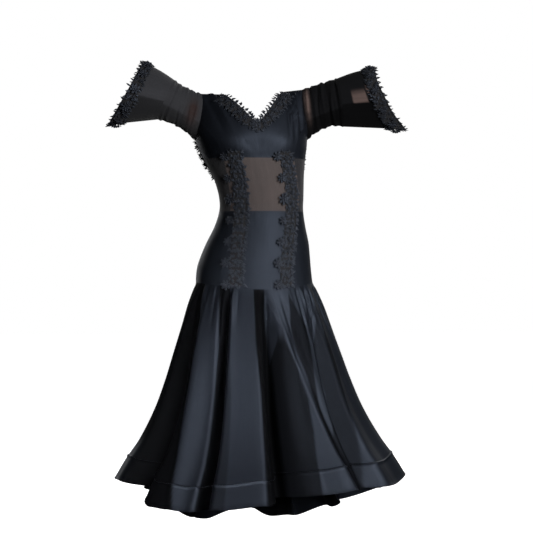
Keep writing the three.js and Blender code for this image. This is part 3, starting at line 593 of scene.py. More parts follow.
# height, angle of the seam between front and side below the bust
LOWER_PRINCESS = [(-262, 40), (-239, 40), (-173, 38), (-19, 54), (60, 52), (130, 43)]
MESH_THREADS = (1400, 1400, 1)
MESH_SOLID = 0.95
MESH_BROWN = (0.105, 0.082, 0.078, 1)
MESH_BROWN_DARK = (0.045, 0.037, 0.036, 1)
MESH_BLACK = (0.030, 0.028, 0.033, 1)
MESH_BLACK_DARK = (0.010, 0.010, 0.012, 1)


def mesh_material(name, dark, light, solid, bare=None, sheen=0.2):
    """Sheer power mesh: fine holes between the threads, with soft streaks where it is pulled.
    With a bare colour it scales its colour by the painted light and shade of a named mark, and shows the
    bare colour where "bare" says it is thin."""
    material, tree, shader = new_material(name)
    cloth_uv = cloth_place(tree)
    broad = noise(tree, object_place(tree), 14.0, 2.0)
    streak = noise(tree, stretched(tree, cloth_uv, (70, 6, 1)), 1.0)
    colour = blend(tree, broad * 0.55 + streak * 0.45, dark, light)
    if bare is not None:
        # painted light and shade: the colour is scaled lighter where lit and darker where in shade
        painted_scaling = {0: colour, "Scale": marked_by(tree, "painted_light_and_shade")}
        painted_lit_colour = node(tree, "ShaderNodeVectorMath", {"operation": "SCALE"}, painted_scaling)
        colour = blend(tree, marked_by(tree, "bare") * (streak * 0.9 + 0.45), painted_lit_colour, bare)
    threads = stretched(tree, cloth_uv, MESH_THREADS)
    holes = node(tree, "ShaderNodeTexVoronoi", {"feature": "F1"}, {"Vector": threads, "Scale": 1.0})
    finish = {
        "Base Color": colour,
        "Alpha": ranged(tree, holes, 0.12, 0.42, solid - 0.2, 1.0),
        "Normal": bumped(tree, holes * 0.0002 + streak * 0.001),
        "Roughness": 0.75,
        "Specular IOR Level": 1.5 * sheen,
        "Sheen Weight": sheen,
    }
    fill(tree, shader, finish)
    return material


def panel(left_of, right_of, low_of, high_of, columns, rows):
    """Places of a panel between two seams, from one level line to another."""
    u = np.linspace(0, 1, columns)[:, None]
    v = np.linspace(0, 1, rows)[None, :]
    guess = low_of(np.array(0.0)) * (1 - v) + high_of(np.array(0.0)) * v
    angle = left_of(guess) * (1 - u) + right_of(guess) * u
    height = low_of(angle) * (1 - v) + high_of(angle) * v
    return np.stack([angle, height], axis=-1)


def level(value):
    return lambda x: np.full(np.shape(x), float(value))


def princess_at(height):
    return smooth(LOWER_PRINCESS, height)[..., 0]


def minus_princess(height):
    return -princess_at(height)


sheer_brown = mesh_material("sheer_brown_mesh", MESH_BROWN_DARK, MESH_BROWN, MESH_SOLID)
sheer_black = mesh_material("sheer_black_mesh", MESH_BLACK_DARK, MESH_BLACK, MESH_SOLID)

low, high = level(MIDRIFF_BOTTOM), level(UNDERBUST)
midriff_front = on_body(panel(minus_princess, princess_at, low, high, CENTRE_COLUMNS, MIDRIFF_ROWS))
cloth("midriff_front_mesh", midriff_front, sheer_brown, "sheer_brown", thick=MESH_THICK)
midriff_side = panel(princess_at, level(SIDE_SEAM), low, high, SIDE_COLUMNS, MIDRIFF_ROWS)
for side, places in (("right", midriff_side), ("left", other_side(midriff_side))):
    cloth(f"midriff_side_{side}_mesh", on_body(places), sheer_black, "sheer_black", thick=MESH_THICK)

half_back = [*line((SIDE_SEAM, UNDERBUST), LOWER_BACK_EDGE[0], count=5)[:-1], *LOWER_BACK_EDGE]
whole_back = [*half_back, *[(360 - a, h) for a, h in half_back[::-1][1:]]]
back_top = bent(whole_back, BACK_COLUMNS)
back_foot = line((SIDE_SEAM, MIDRIFF_BOTTOM), (360 - SIDE_SEAM, MIDRIFF_BOTTOM), count=BACK_COLUMNS)
back_side = line((SIDE_SEAM, MIDRIFF_BOTTOM), (SIDE_SEAM, UNDERBUST), count=SIDE_ROWS)
midriff_back = on_body(patch(back_foot, back_top, back_side, back_side * [-1, 1] + [360, 0]))
cloth("midriff_back_mesh", midriff_back, sheer_black, "sheer_black", thick=MESH_THICK)

# ------------------------------------------------------------------ yoke
# The hip yoke: front, two sides and back in the same satin, fitted from the waist to the low seam
# that the skirt hangs from.

YOKE_BOTTOM = -239
YOKE_SIDE_RISE = 19
YOKE_ROWS, YOKE_BACK_COLUMNS = 71, 101
YOKE_FOLDS = [
    (-96, -32, -40, -70, 9, 0.9),
    (92, -30, 30, -62, 9, 0.8),
    (-60, -225, -52, -150, 9, -0.9),
    (66, -225, 40, -140, 9, -0.8),
    (0, -40, 14, -150, 16, 0.7),
]


def yoke_bottom(angle):
    return YOKE_BOTTOM + YOKE_SIDE_RISE * np.sin(angle * DEGREE) ** 2


yoke_top = level(MIDRIFF_BOTTOM)
yoke_front = on_body(panel(minus_princess, princess_at, yoke_bottom, yoke_top, CENTRE_COLUMNS, YOKE_ROWS))
yoke_normals = grid_normals(yoke_front)
yoke_front += yoke_normals * lay_folds(yoke_front, yoke_normals, YOKE_FOLDS)[..., None]
cloth("yoke_front_satin", yoke_front, satin, "satin")
yoke_side = panel(princess_at, level(SIDE_SEAM), yoke_bottom, yoke_top, SIDE_COLUMNS, YOKE_ROWS)
for side, places in (("right", yoke_side), ("left", other_side(yoke_side))):
    cloth(f"yoke_side_{side}_satin", on_body(places), satin, "satin")
back_seams = level(SIDE_SEAM), level(360 - SIDE_SEAM)
yoke_back = panel(*back_seams, yoke_bottom, yoke_top, YOKE_BACK_COLUMNS, YOKE_ROWS)
cloth("yoke_back_satin", on_body(yoke_back), satin, "satin")

# ------------------------------------------------------------------ skirt
# Six flared gores of satin that hang in deep folds from the yoke seam, each gore running between
# two troughs. Short tucks show where the fullness starts under the seam.

HEM_BAND_HEIGHT = 66
HEM_HALF_WIDTH, HEM_FRONT, HEM_BACK, HEM_SHIFT, SHIFT_REACHED = 375, 300, 325, 4, 0.8
TROUGH_SHARPNESS = 1.8
# angle, how far the fold stands out at the hem, height of the hem there
FOLDS = [
    (-96, -42, -776),
    (-79, 46, -768),
    (-67, -36, -786),
    (-55, 38, -830),
    (-38, 14, -842),
    (-32, -46, -838),
    (-26, 34, -832),
    (-6, 38, -820),
    (4, -125, -812),
    (24, -30, -802),
    (39, 2, -793),
    (46, -24, -790),
    (58, 34, -786),
    (80, 42, -768),
    (98, -42, -790),
    (112, 40, -826),
    (126, -44, -862),
    (140, 42, -896),
    (153, -46, -918),
    (166, 42, -932),
    (179, -50, -892),
    (194, 44, -936),
    (209, -46, -916),
    (222, 42, -838),
    (236, -44, -800),
    (250, 42, -786),
]
# share of the drop, share of the flare, share of the fold depth
FLARE = [
    (0, 0, 0),
    (0.09, 0.075, 0.12),
    (0.225, 0.165, 0.32),
    (0.35, 0.245, 0.48),
    (0.5, 0.345, 0.64),
    (0.65, 0.475, 0.78),
    (0.8, 0.665, 0.91),
    (0.9, 0.84, 0.98),
    (1, 1, 1),
]
GORES = [
    ("front_left", -96, -32),
    ("front", -32, 46),
    ("front_right", 46, 98),
    ("back_right", 98, 153),
    ("back", 153, 209),
    ("back_left", 209, 264),
]
# Long creases down the skirt. Each follows its rows of share of the drop and angle, with its width
# in degrees to the left and to the right and how far it stands out at the yoke seam and at the hem.
CREASES = [
    ([(0, -79), (1, -84)], 5, 3, 2, 5),
    ([(0, -60), (0.4, -55), (0.66, -53), (0.8, -50), (1, -46)], 1.2, 5, 4, 7),
    ([(0, -42), (0.4, -38.5), (1, -36)], 5, 1.2, 4, 5),
    ([(0, -33), (1, -32)], 2, 2, -3, -4),
    ([(0, -28), (1, -26)], 1.2, 4, 3, 4),
    ([(0, -8), (0.3, -7), (1, -6)], 5, 1.0, 3, 5),
    ([(0, 2), (1, 4)], 2.2, 4, -3, -8),
    ([(0, 8), (0.25, 20), (0.4, 27), (0.55, 31), (0.7, 33.5), (1, 37.5)], 7, 1.2, 4, 9),
    ([(0, 16), (0.25, 26), (0.4, 32), (0.55, 35), (0.7, 37.5), (1, 41)], 1.8, 3, -4, -5),
    ([(0, 54), (0.13, 50), (0.27, 43), (0.6, 43)], 2.0, 1.2, 4, 2),
    ([(0, 56), (0.3, 52), (1, 50)], 3, 3, -3, -2),
    ([(0, 62), (1, 66)], 4, 5, -2, -5),
    ([(0, 76), (1, 78)], 7, 4, 1, 3),
]
# Tucks: angle at the top, angle at the bottom, from and to share of the drop, half width in degrees
# at the top, depth in mm
TUCKS = [
    (-84, -85, 0.0, 0.3, 1.6, 2.5),
    (-71, -72, 0.0, 0.25, 1.8, -3.5),
    (-62, -64, 0.0, 0.3, 1.6, 3.0),
    (-57, -60, 0.0, 0.4, 1.8, -3.5),
    (-46, -45, 0.0, 0.22, 1.4, -2.5),
    (-37, -35, 0.0, 0.26, 1.3, 3.5),
    (-33, -31, 0.0, 0.22, 1.1, -3.0),
    (-28.5, -27, 0.0, 0.24, 1.2, 3.5),
    (-23, -22, 0.0, 0.2, 1.4, -2.0),
    (-4, -2, 0.0, 0.2, 1.8, 1.5),
    (3, 4, 0.0, 0.34, 2.0, -4.5),
    (27, 31, 0.0, 0.16, 1.4, 2.5),
    (36, 39, 0.0, 0.3, 1.5, -4.0),
    (42, 45, 0.0, 0.22, 1.2, 4.5),
    (48, 50, 0.0, 0.4, 1.8, -4.5),
    (56, 58, 0.0, 0.34, 1.3, 4.5),
    (66, 68, 0.0, 0.4, 2.2, -4.0),
    (75, 77, 0.0, 0.3, 1.6, 3.0),
]

# Where shade is painted on the satin, in the troughs and down the left side: rows of share of the drop and
# the angles between which it is painted, and how strong the painted shade is there
PAINTED_SHADE_PLACES = [
    (
        [
            (0, -100, -64),
            (0.12, -100, -62),
            (0.25, -100, -56.5),
            (0.55, -100, -56),
            (0.8, -100, -50.5),
            (1, -100, -45),
        ],
        1.0,
    ),
    ([(0, -42, -32), (0.25, -36.5, -29), (1, -35.5, -29)], 0.95),
    ([(0, -29, -28), (0.3, -29, -27), (0.5, -29, -24.5), (1, -29, -22)], 0.5),
    ([(0, -8, 1), (0.25, -7.5, 4), (0.5, -5, 7), (1, -4.5, 8)], 1.0),
    ([(0.25, 13, 17), (0.4, 5, 25), (0.55, 5, 29), (0.7, 5, 28), (0.85, 5, 25), (1, 5, 22)], 0.82),
    ([(0.05, 26, 27), (0.2, 25, 38), (0.3, 27, 38), (0.45, 32, 36), (0.6, 34, 35), (1, 39, 44)], 0.85),
    ([(0.1, 56, 58), (0.3, 47, 60), (0.42, 47, 60), (0.55, 48, 57), (0.75, 39, 53), (1, 39, 47)], 0.7),
]
# how softly the painted shade fades at its sides, and how far before and after its first row it starts
PAINTED_SHADE_EDGE, PAINTED_SHADE_STARTS_BEFORE, PAINTED_SHADE_STARTS_AFTER = 1.1, 0.06, 0.02
# the lit flap at the left of the hem is left out of the painted shade: angle and share of the drop, and how
# far it fades
FLAP_ANGLE, FLAP_DROP, FLAP_ANGLE_FADE, FLAP_DROP_FADE = -77, 0.82, 3, 0.06
# from this trough on, the back has the like of the front
BACK_FROM = 98
# small folds of the back under the seam: depth, waves round the dress, waves that vary them, share
# of the drop and spread
BACK_TUCKS = (2.4, 23, 7, 0.07, 0.1)


def fold(angle):
    """How far a fold stands out at the hem and how low the hem hangs, at each angle."""
    rows = np.array([*FOLDS, (FOLDS[0][0] + 360, *FOLDS[0][1:])], float)
    at = rows[0, 0] + (angle - rows[0, 0]) % 360
    i = np.clip(np.searchsorted(rows[:, 0], at) - 1, 0, len(rows) - 2)
    f = (at - rows[i, 0]) / (rows[i + 1, 0] - rows[i, 0])
    eased = (1 - np.cos(math.pi * f)) / 2
    falling = rows[i + 1, 1] < rows[i, 1]
    share = np.where(falling, eased**TROUGH_SHARPNESS, 1 - (1 - eased) ** TROUGH_SHARPNESS)
    out = rows[i, 1] * (1 - share) + rows[i + 1, 1] * share
    hem = rows[i, 2] * (1 - eased) + rows[i + 1, 2] * eased
    return out, hem


def skirt(angle, drop):
    """Points of the skirt at an angle and a share of the drop from the yoke seam to the hem."""
    angle, drop = np.broadcast_arrays(np.asarray(angle, float), np.asarray(drop, float))
    top = body(angle, yoke_bottom(angle))
    out, hem = fold(angle)
    flare, depth = np.moveaxis(smooth(FLARE, drop), -1, 0)
    out = np.where(drop > 0, out * depth / np.maximum(flare, 0.001), 0)
    sine, cosine = np.sin(angle * DEGREE), np.cos(angle * DEGREE)
    hem_depth = np.where(cosine > 0, HEM_FRONT, HEM_BACK)
    middle = smooth(BODY, yoke_bottom(angle))[..., 3]
    shift = (HEM_SHIFT - middle) * np.minimum(1, drop / SHIFT_REACHED)
    return np.stack(
        [
            top[..., 0] * (1 - flare) + (middle + (HEM_HALF_WIDTH + out) * sine) * flare + shift,
            top[..., 1] * (1 - flare) - (hem_depth + out) * cosine * flare,
            top[..., 2] * (1 - drop) + hem * drop,
        ],
        axis=-1,
    )


# shares of the drop or of a tuck's length between which they rise, and die away
CREASE_RISES, TUCK_RISES, TUCK_DIES, TUCKS_BEGIN = (0, 0.12), (-0.02, 0.12), (0.35, 1.0), (0, 0.03)


def creases(angle, drop):
    """How far the long creases stand out; those of the back echo the front ones."""
    turn = np.where(angle > BACK_FROM, 180 - angle, angle)
    moved = np.zeros(np.broadcast_shapes(angle.shape, drop.shape))
    for path, left, right, at_seam, at_hem in CREASES:
        aside = turn - np.interp(drop, [row[0] for row in path], [row[1] for row in path])
        profile = hump(aside, 0, np.where(aside < 0, left, right))
        moved = moved + (at_seam + (at_hem - at_seam) * drop) * profile * ease(drop, *CREASE_RISES)
    return moved


def painted_shade_share(angle, drop):
    """How much shade is painted on the satin; the back has the like of the front."""
    turn = np.where(angle > BACK_FROM, 180 - angle, angle)
    painted_shade = np.zeros(np.broadcast_shapes(angle.shape, drop.shape))
    for rows, strength in PAINTED_SHADE_PLACES:
        shares = [row[0] for row in rows]
        start, end = (np.interp(drop, shares, [row[k] for row in rows]) for k in (1, 2))
        inside = ease(turn, start - PAINTED_SHADE_EDGE, start) * (1 - ease(turn, end, end + PAINTED_SHADE_EDGE))
        reach = ease(drop, shares[0] - PAINTED_SHADE_STARTS_BEFORE, shares[0] + PAINTED_SHADE_STARTS_AFTER)
        painted_shade = np.maximum(painted_shade, strength * inside * reach)
    past_flap = ease(turn, FLAP_ANGLE - FLAP_ANGLE_FADE, FLAP_ANGLE + FLAP_ANGLE_FADE)
    low_enough = ease(drop, FLAP_DROP - FLAP_DROP_FADE, FLAP_DROP + FLAP_DROP_FADE)
    return painted_shade * (1 - (1 - past_flap) * low_enough)


def tucks(angle, drop):
    """Depth of the small folds under the yoke seam; the back has like ones, evenly spread."""
    depth, waves, varied, at, spread = BACK_TUCKS
    moved = depth * np.sin(angle * waves * DEGREE) * np.cos(angle * varied * DEGREE) * hump(drop, at, spread)
    moved = moved * (np.cos(angle * DEGREE) < 0.1)
    for top, foot, start, end, half_width, depth in TUCKS:
        share = (drop - start) / (end - start)
        middle = top + (foot - top) * np.clip(share, 0, 1)
        reach = ease(share, *TUCK_RISES) * (1 - ease(share, *TUCK_DIES))
        moved = moved + depth * hump(angle, middle, half_width) * reach
    return moved * ease(drop, *TUCKS_BEGIN)


def band_top(angle):
    return 1 - HEM_BAND_HEIGHT / (yoke_bottom(angle) - fold(angle)[1])


def skirt_normals(angle, drop):
    across = skirt(angle + 0.3, drop) - skirt(angle - 0.3, drop)
    upward = skirt(angle, np.maximum(drop - 0.004, 0)) - skirt(angle, np.minimum(drop + 0.004, 1))
    return unit(np.cross(across, upward))


GORE_STEP = 0.75
GORE_ROWS = 78
# the gore runs down behind the top of its hem band by this much
TUCKED_UNDER_BAND = 8


def gore_angles(start, end):
    return np.linspace(start, end, int((end - start) / GORE_STEP) + 1)[:, None]


def hang(name, angles, drops, proud, material, **settings):
    """Sews a length of the skirt whose face stands proud of its folds, beside the creases."""
    stands_out = proud + creases(angles, drops)
    grid = skirt(angles, drops) + skirt_normals(angles, drops) * stands_out[..., None]
    # shade painted into the troughs and down the left side of the skirt
    marks = {"painted_shade": painted_shade_share(angles, drops)}
    cloth(name, grid, material, "satin", held="hung", marks=marks, **settings)


# the gores take the painted shade
gore_satin = satin_material("gore_satin", SATIN_ROUGHNESS - 0.02, with_painted_shade=True)
for name, start, end in GORES:
    angles = gore_angles(start, end)
    lowest = band_top(angles) + (1 - band_top(angles)) * TUCKED_UNDER_BAND / HEM_BAND_HEIGHT
    drops = lowest * np.linspace(1, 0, GORE_ROWS)[None, :]
    hang(f"skirt_{name}_satin", angles, drops, tucks(angles, drops), gore_satin)

# ------------------------------------------------------------------ hem bands
# A stiffened satin band along the hem of each gore, horsehair inside, folded up and sewn with its
# top edge standing a little proud of the skirt.

BAND_THICK = 2.0
BAND_ROWS = 24
# share of the climb, how far the cloth stands proud there, width as a share of the climb
BAND_EDGE, BAND_EDGE_PROUD, BAND_EDGE_WIDE = 0.955, 3.4, 0.045
BAND_FOOT_PROUD, BAND_FOOT_WIDE = 0.9, 0.08
# the hem bands take the painted shade as well
band_satin = satin_material("hem_band_satin", SATIN_ROUGHNESS - 0.04, with_painted_shade=True)
for name, start, end in GORES:
    angles = gore_angles(start, end)
    climb = np.linspace(0, 1, BAND_ROWS)[None, :]
    drops = 1 - (1 - band_top(angles)) * climb
    proud = BAND_EDGE_PROUD * hump(climb, BAND_EDGE, BAND_EDGE_WIDE)
    proud = proud + BAND_FOOT_PROUD * (1 - ease(climb, 0, BAND_FOOT_WIDE))
    hang(f"hem_band_{name}_satin", angles, drops, proud, band_satin, thick=BAND_THICK)

# ------------------------------------------------------------------ sleeves
# Tubes of black sheer mesh from the armholes, gathered along their length so that uneven folds ring
# the arm. Next to the armhole the mesh is single and shows brown.

# the mesh starts this far outside the edge of the satin, so here it starts a little within it
SLEEVE_SET_OUT = -1.2
# side, x, y, z, half height, half depth, lean, yaw, dish; the seam ring first, then the cuff's edge
SLEEVES = {
    "left": [(-1, 262, 16, 298, 61, 60, 23, 10, 0), (-1, 377, 34, 315, 101, 70, 28.7, 10, 9)],
    "right": [(1, 241, -2, 296, 70, 60, 8, 10, 0), (1, 381, -24, 306, 98, 70, 28, 10, 22)],
}
# how far each sleeve is drawn in half way along, above the arm and below it
SLEEVE_WAIST = {"left": (4, 11), "right": (-1, 17)}
SLEEVE_TURNS = 160
SLEEVE_ROWS = 61
GATHER = 1.25
# share along the sleeve, drift of the ring over a turn, half width, depth
RUCHES = {
    "left": [
        (0.12, 0.10, 0.035, 2.4),
        (0.22, -0.08, 0.03, -2.6),
        (0.31, 0.12, 0.04, 2.8),
        (0.42, -0.10, 0.035, -2.4),
        (0.52, 0.06, 0.04, 3.0),
        (0.63, -0.14, 0.035, -2.8),
        (0.74, 0.12, 0.04, 2.6),
        (0.86, -0.06, 0.035, -2.6),
        (0.94, 0.03, 0.03, 2.0),
    ],
    "right": [
        (0.10, 0.02, 0.03, 2.6),
        (0.19, 0.04, 0.03, -2.8),
        (0.29, -0.03, 0.04, 3.0),
        (0.41, 0.05, 0.035, -2.8),
        (0.52, -0.02, 0.04, 3.2),
        (0.65, 0.06, 0.035, -3.0),
        (0.77, -0.04, 0.04, 3.0),
        (0.88, 0.02, 0.035, -2.6),
        (0.95, -0.02, 0.025, 2.0),
    ],
}
SLEEVE_DARK, SLEEVE_LIGHT = (0.024, 0.024, 0.028, 1), (0.042, 0.043, 0.050, 1)
NUDE = {"left": (0.022, 0.010, 0.009, 1), "right": (0.135, 0.095, 0.086, 1)}
# where the mesh is single and thin: share along the sleeve and half width, turn and half width
SLEEVE_BARE = {"left": (0.24, 0.13, 88, 34), "right": (0.115, 0.06, 62, 34)}
# how far the mesh colour is scaled above the fold and below it: painted light and shade, with the left
# sleeve painted lit and the right one in shade
SLEEVE_PAINTED_LIGHT = {"left": (0.8, 0.36), "right": (0.2, 0.08)}
# how solid the mesh is, and its sheen, kept low on the right sleeve, which is painted in shade
SLEEVE_SOLID, SLEEVE_SHEEN = 0.97, {"left": 0.16, "right": 0.03}
# turn at which the painted shade of the lower mesh begins, how far it fades, and how far the back is painted
# in shade beside it
SLEEVE_SHADE_FROM, SLEEVE_SHADE_FADE, SLEEVE_BACK_SHADE = 106, 3, 0.4
BARE_CORE = 1.3


def sleeve_ring(row, turn, pointed):
    side, x, y, z, half_height, half_depth, lean, yaw, dish = row
    up = half_height * np.cos(turn * DEGREE)
    round_ = np.sin(turn * DEGREE)
    lens = round_ * np.abs(round_)
    forward = -half_depth * (round_ * (1 - pointed) + lens * pointed)
    outward = x - up * math.sin(lean * DEGREE) - dish * round_**2
    return np.stack(
        [
            side * outward + forward * math.sin(yaw * DEGREE),
            y + forward * math.cos(yaw * DEGREE),
            z + up * math.cos(lean * DEGREE),
        ],
        axis=-1,
    )


def sleeve(name, turn, share):
    turn, share = np.broadcast_arrays(turn, share)
    side = SLEEVES[name][0][0]
    angle, height = np.moveaxis(armhole(turn), -1, 0)
    start = body(side * angle, height)
    start[..., 0] += side * SLEEVE_SET_OUT
    end = sleeve_ring(SLEEVES[name][0], turn, 0)
    points = start * (1 - share[..., None]) + end * share[..., None]
    above, below = SLEEVE_WAIST[name]
    inward = (below + (above - below) * (1 + np.cos(turn * DEGREE)) / 2) * np.sin(math.pi * share)
    points[..., 1] += inward * np.sin(turn * DEGREE)
    points[..., 2] -= inward * np.cos(turn * DEGREE)
    return points


def sleeve_marks(name, turn, share):
    """The painted light and shade of the mesh, and where it is bare, over the sleeve."""
    share_at, share_wide, turn_at, turn_wide = SLEEVE_BARE[name]
    bare = hump(share, share_at, share_wide) * hump(turn, turn_at, turn_wide)
    above, below = SLEEVE_PAINTED_LIGHT[name]
    front = (turn > 0) & (turn < 180)
    under = ease(turn, SLEEVE_SHADE_FROM - SLEEVE_SHADE_FADE, SLEEVE_SHADE_FROM + SLEEVE_SHADE_FADE) * front
    painted_light_and_shade = above + (below - above) * np.where(front, under, SLEEVE_BACK_SHADE)
    return {"bare": np.clip(bare * BARE_CORE, 0, 1), "painted_light_and_shade": painted_light_and_shade}


# the folds wander and swell round the arm, and start and end a little way from the seams
RUCHE_DRIFT, RUCHE_WANDER, WANDER_WAVES = 0.5, 0.012, 3
RUCHE_LEAST, RUCHE_SWELL, SWELL_WAVES, SWELL_SHIFT = 0.65, 0.35, 2, 1.7
RUCHES_BEGIN, RUCHES_END = (0, 0.06), (0.95, 1)


def ruches(name, turn, share):
    moved = np.zeros(np.broadcast_shapes(turn.shape, share.shape))
    for k, (middle, drift, half_width, depth) in enumerate(RUCHES[name]):
        at = middle + drift * np.sin(turn * DEGREE + k) * RUCHE_DRIFT
        at = at + RUCHE_WANDER * np.sin(WANDER_WAVES * turn * DEGREE + 2 * k)
        strength = RUCHE_LEAST + RUCHE_SWELL * np.sin(SWELL_WAVES * turn * DEGREE + SWELL_SHIFT * k)
        moved = moved + depth * strength * hump(share, at, half_width)
    return moved * ease(share, *RUCHES_BEGIN) * (1 - ease(share, *RUCHES_END))


def turns_for(name, count):
    turns = np.arange(count) * 360 / count
    return (turns[::-1] if name == "left" else turns)[:, None]


sleeve_mesh = {}
for name in SLEEVES:
    colours = SLEEVE_DARK, SLEEVE_LIGHT, SLEEVE_SOLID, NUDE[name], SLEEVE_SHEEN[name]
    sleeve_mesh[name] = mesh_material(f"sleeve_mesh_{name}", *colours)
    turns = turns_for(name, SLEEVE_TURNS)
    shares = np.linspace(0, 1, SLEEVE_ROWS)[None, :]
    tube = sleeve(name, turns, shares)
    tube += grid_normals(tube, True) * ruches(name, turns, shares)[..., None]
    halves = [f"sleeve_{name}_front", f"sleeve_{name}_back"]
    marks = sleeve_marks(name, turns, shares)
    settings = {"thick": MESH_THICK, "closed": True, "held": "gathered", "gather": GATHER, "marks": marks}
    cloth(f"sleeve_{name}_mesh", tube, sleeve_mesh[name], "sheer_black", halves, **settings)

# ------------------------------------------------------------------ cuffs
# Flared cuffs of the same mesh that open to a point above and below, folded over once so that the
# upper half lies on the lower half along a slanting fold.

CUFF_FOLD_STEP, CUFF_FOLD_FROM, CUFF_FOLD_TO = 5, 105, 80
CUFF_WAVE, CUFF_WAVES, CUFF_CROWN = 5, 5, 5
# painted light and shade of the cuff mesh above and below the flap's edge, the left cuff painted lit and the
# right one in shade
CUFF_PAINTED_LIGHT = {"left": (1.05, 0.42), "right": (0.24, 0.09)}
# where the flap's edge shows at the seam, how far it slants to the mouth, how it fades on either side, and
# how far the back is painted in shade
CUFF_FLAP_EDGE, CUFF_FLAP_SLANT, CUFF_FLAP_FADE, CUFF_BACK_SHADE = 99, 8, (2, 1), 0.5
# windows in the right cuff where the flap gapes: turn from and to, share from and to
CUFF_WINDOWS = [(74, 97, 0.26, 0.6), (66, 80, 0.64, 0.74)]
WINDOW_TOP_FADE, WINDOW_FOOT_FADE, WINDOW_SIDE_FADE = 8, 1, 0.02


def cuff(name, turn, share):
    turn, share = np.broadcast_arrays(turn, share)
    seam = sleeve_ring(SLEEVES[name][0], turn, 0)
    edge = sleeve_ring(SLEEVES[name][1], turn, 1)
    points = seam * (1 - share[..., None]) + edge * share[..., None]
    sine, cosine = np.sin(turn * DEGREE), np.cos(turn * DEGREE)
    ripple = CUFF_WAVE * share * np.sin(CUFF_WAVES * turn * DEGREE) * sine**2
    flap = np.where(turn < 180, CUFF_FOLD_STEP * share * ease(-turn, -CUFF_FOLD_FROM, -CUFF_FOLD_TO), 0)
    points[..., 1] -= (ripple + flap) * np.where(sine < 0, -1, 1)
    points[..., 2] += CUFF_CROWN * np.sin(math.pi * np.minimum(share, 1)) * np.maximum(0, cosine)
    return points


def cuff_marks(name, turn, share):
    """The cuff's painted light and shade: lighter on the flap that lies double over the lower half, darker
    below the flap's edge and behind, the right cuff in shade.
    """
    above, below = CUFF_PAINTED_LIGHT[name]
    edge = CUFF_FLAP_EDGE - CUFF_FLAP_SLANT * share
    before, after = CUFF_FLAP_FADE
    under = np.where((turn > 0) & (turn < 180), ease(turn, edge - before, edge + after), CUFF_BACK_SHADE)
    bare = np.zeros(np.broadcast_shapes(turn.shape, share.shape))
    if name == "right":
        for turn_low, turn_high, low, high in CUFF_WINDOWS:
            top = ease(turn, turn_low - WINDOW_TOP_FADE, turn_low + WINDOW_TOP_FADE)
            foot = 1 - ease(turn, turn_high - WINDOW_FOOT_FADE, turn_high + WINDOW_FOOT_FADE)
            near = ease(share, low - WINDOW_SIDE_FADE, low + WINDOW_SIDE_FADE)
            far = 1 - ease(share, high - WINDOW_SIDE_FADE, high + WINDOW_SIDE_FADE)
            bare = bare + top * foot * near * far
    return {"bare": bare, "painted_light_and_shade": above + (below - above) * under}


for name in SLEEVES:
    turns = turns_for(name, SLEEVE_TURNS)
    shares = np.linspace(0, 1, SLEEVE_ROWS)[None, :]
    flounce = cuff(name, turns, shares)
    halves = [f"cuff_{name}_front", f"cuff_{name}_back"]
    marks = cuff_marks(name, turns, shares)
    settings = {"thick": MESH_THICK, "closed": True, "held": "hung", "marks": marks}
    cloth(f"cuff_{name}_mesh", flounce, sleeve_mesh[name], "sheer_black", halves, **settings)

# ------------------------------------------------------------------ lace
# Black guipure: leaves and flowers of thick thread on a fine net, cut out along the leaves and
# sewn by hand over the neckline, round the back opening, down the front and along the cuffs.

LACE_TOP = 319
LACE_NET_THICK = 0.8
LACE_NET_LIFT = 2.0
NECK_LACE_START, NECK_LACE_WIDTH, NECK_LACE_AT_POINT = (32.5, 318), 38, 26
BACK_LACE_START = (143, 318)
# share along the edge of the back opening, width of the lace there
BACK_LACE_WIDTHS = [(0, 22), (0.1, 16), (0.2, 12), (0.36, 14), (0.5, 24), (0.64, 27), (0.8, 28), (1, 28)]
STRIP_X, STRIP_HALF_WIDTH, STRIP_TOP, STRIP_BOTTOM = 72, 22, 148, -229
CUFF_LACE_START, CUFF_LACE_END = 0.68, 0.995
FLOWER_SPACING, FLOWER_FIRST, FLOWER_RADIUS = 61, 134, 15
TURN_DOWN_FROM = 0.72
WALK_STEPS = 12
LEAF_WIDTH, LEAF_THICK, LEAF_CURL = 0.2, 0.085, 0.1
PETAL_WIDTH, PETAL_THICK, PETAL_CUP, PETALS = 0.27, 0.09, 0.16, 7
UNEVEN_LEAST, UNEVEN_MOST, MOTIF_SEED = 0.84, 1.18, 7
FLOWER_LIFT = 0.2
BACK_LEAF_CURL = {"left": 0.7, "right": 0.25}
LEAF, FLOWER, STITCH = 0, 1, 2
# leaves that turn less than this from straight out lean to one side and the other by turns
ALTERNATE_BELOW = 150
# how unevenly the motifs lie: shares of a step along and of the width, turns in degrees, sizes, lift
ASTRAY_ALONG, ASTRAY_ACROSS, LEAN, TWIST = 0.25, 0.06, 16, 22
LEAF_SIZES, MOTIF_LIFTS, OUTWARD_STEP = (0.85, 1.15), (0.2, 1.3), 0.08
LACE_COLUMNS, NECK_STEPS, BACK_STEPS, STRIP_STEPS, LACE_PAST_EDGE = 7, 73, 145, 95, 2.5
NET_BLACK = (0.014, 0.014, 0.017, 1)
THREAD_DARK = (0.010, 0.011, 0.014, 1)
THREAD_LIGHT = (0.046, 0.050, 0.061, 1)


def body_normals(places):
    angle, height = places[..., 0], np.minimum(places[..., 1], SHOULDER_TOP - 1)
    across = body(angle + 0.4, height) - body(angle - 0.4, height)
    upward = body(angle, height + 0.4) - body(angle, height - 0.4)
    return unit(np.cross(across, upward))


def dot(a, b):
    return (a * b).sum(-1)


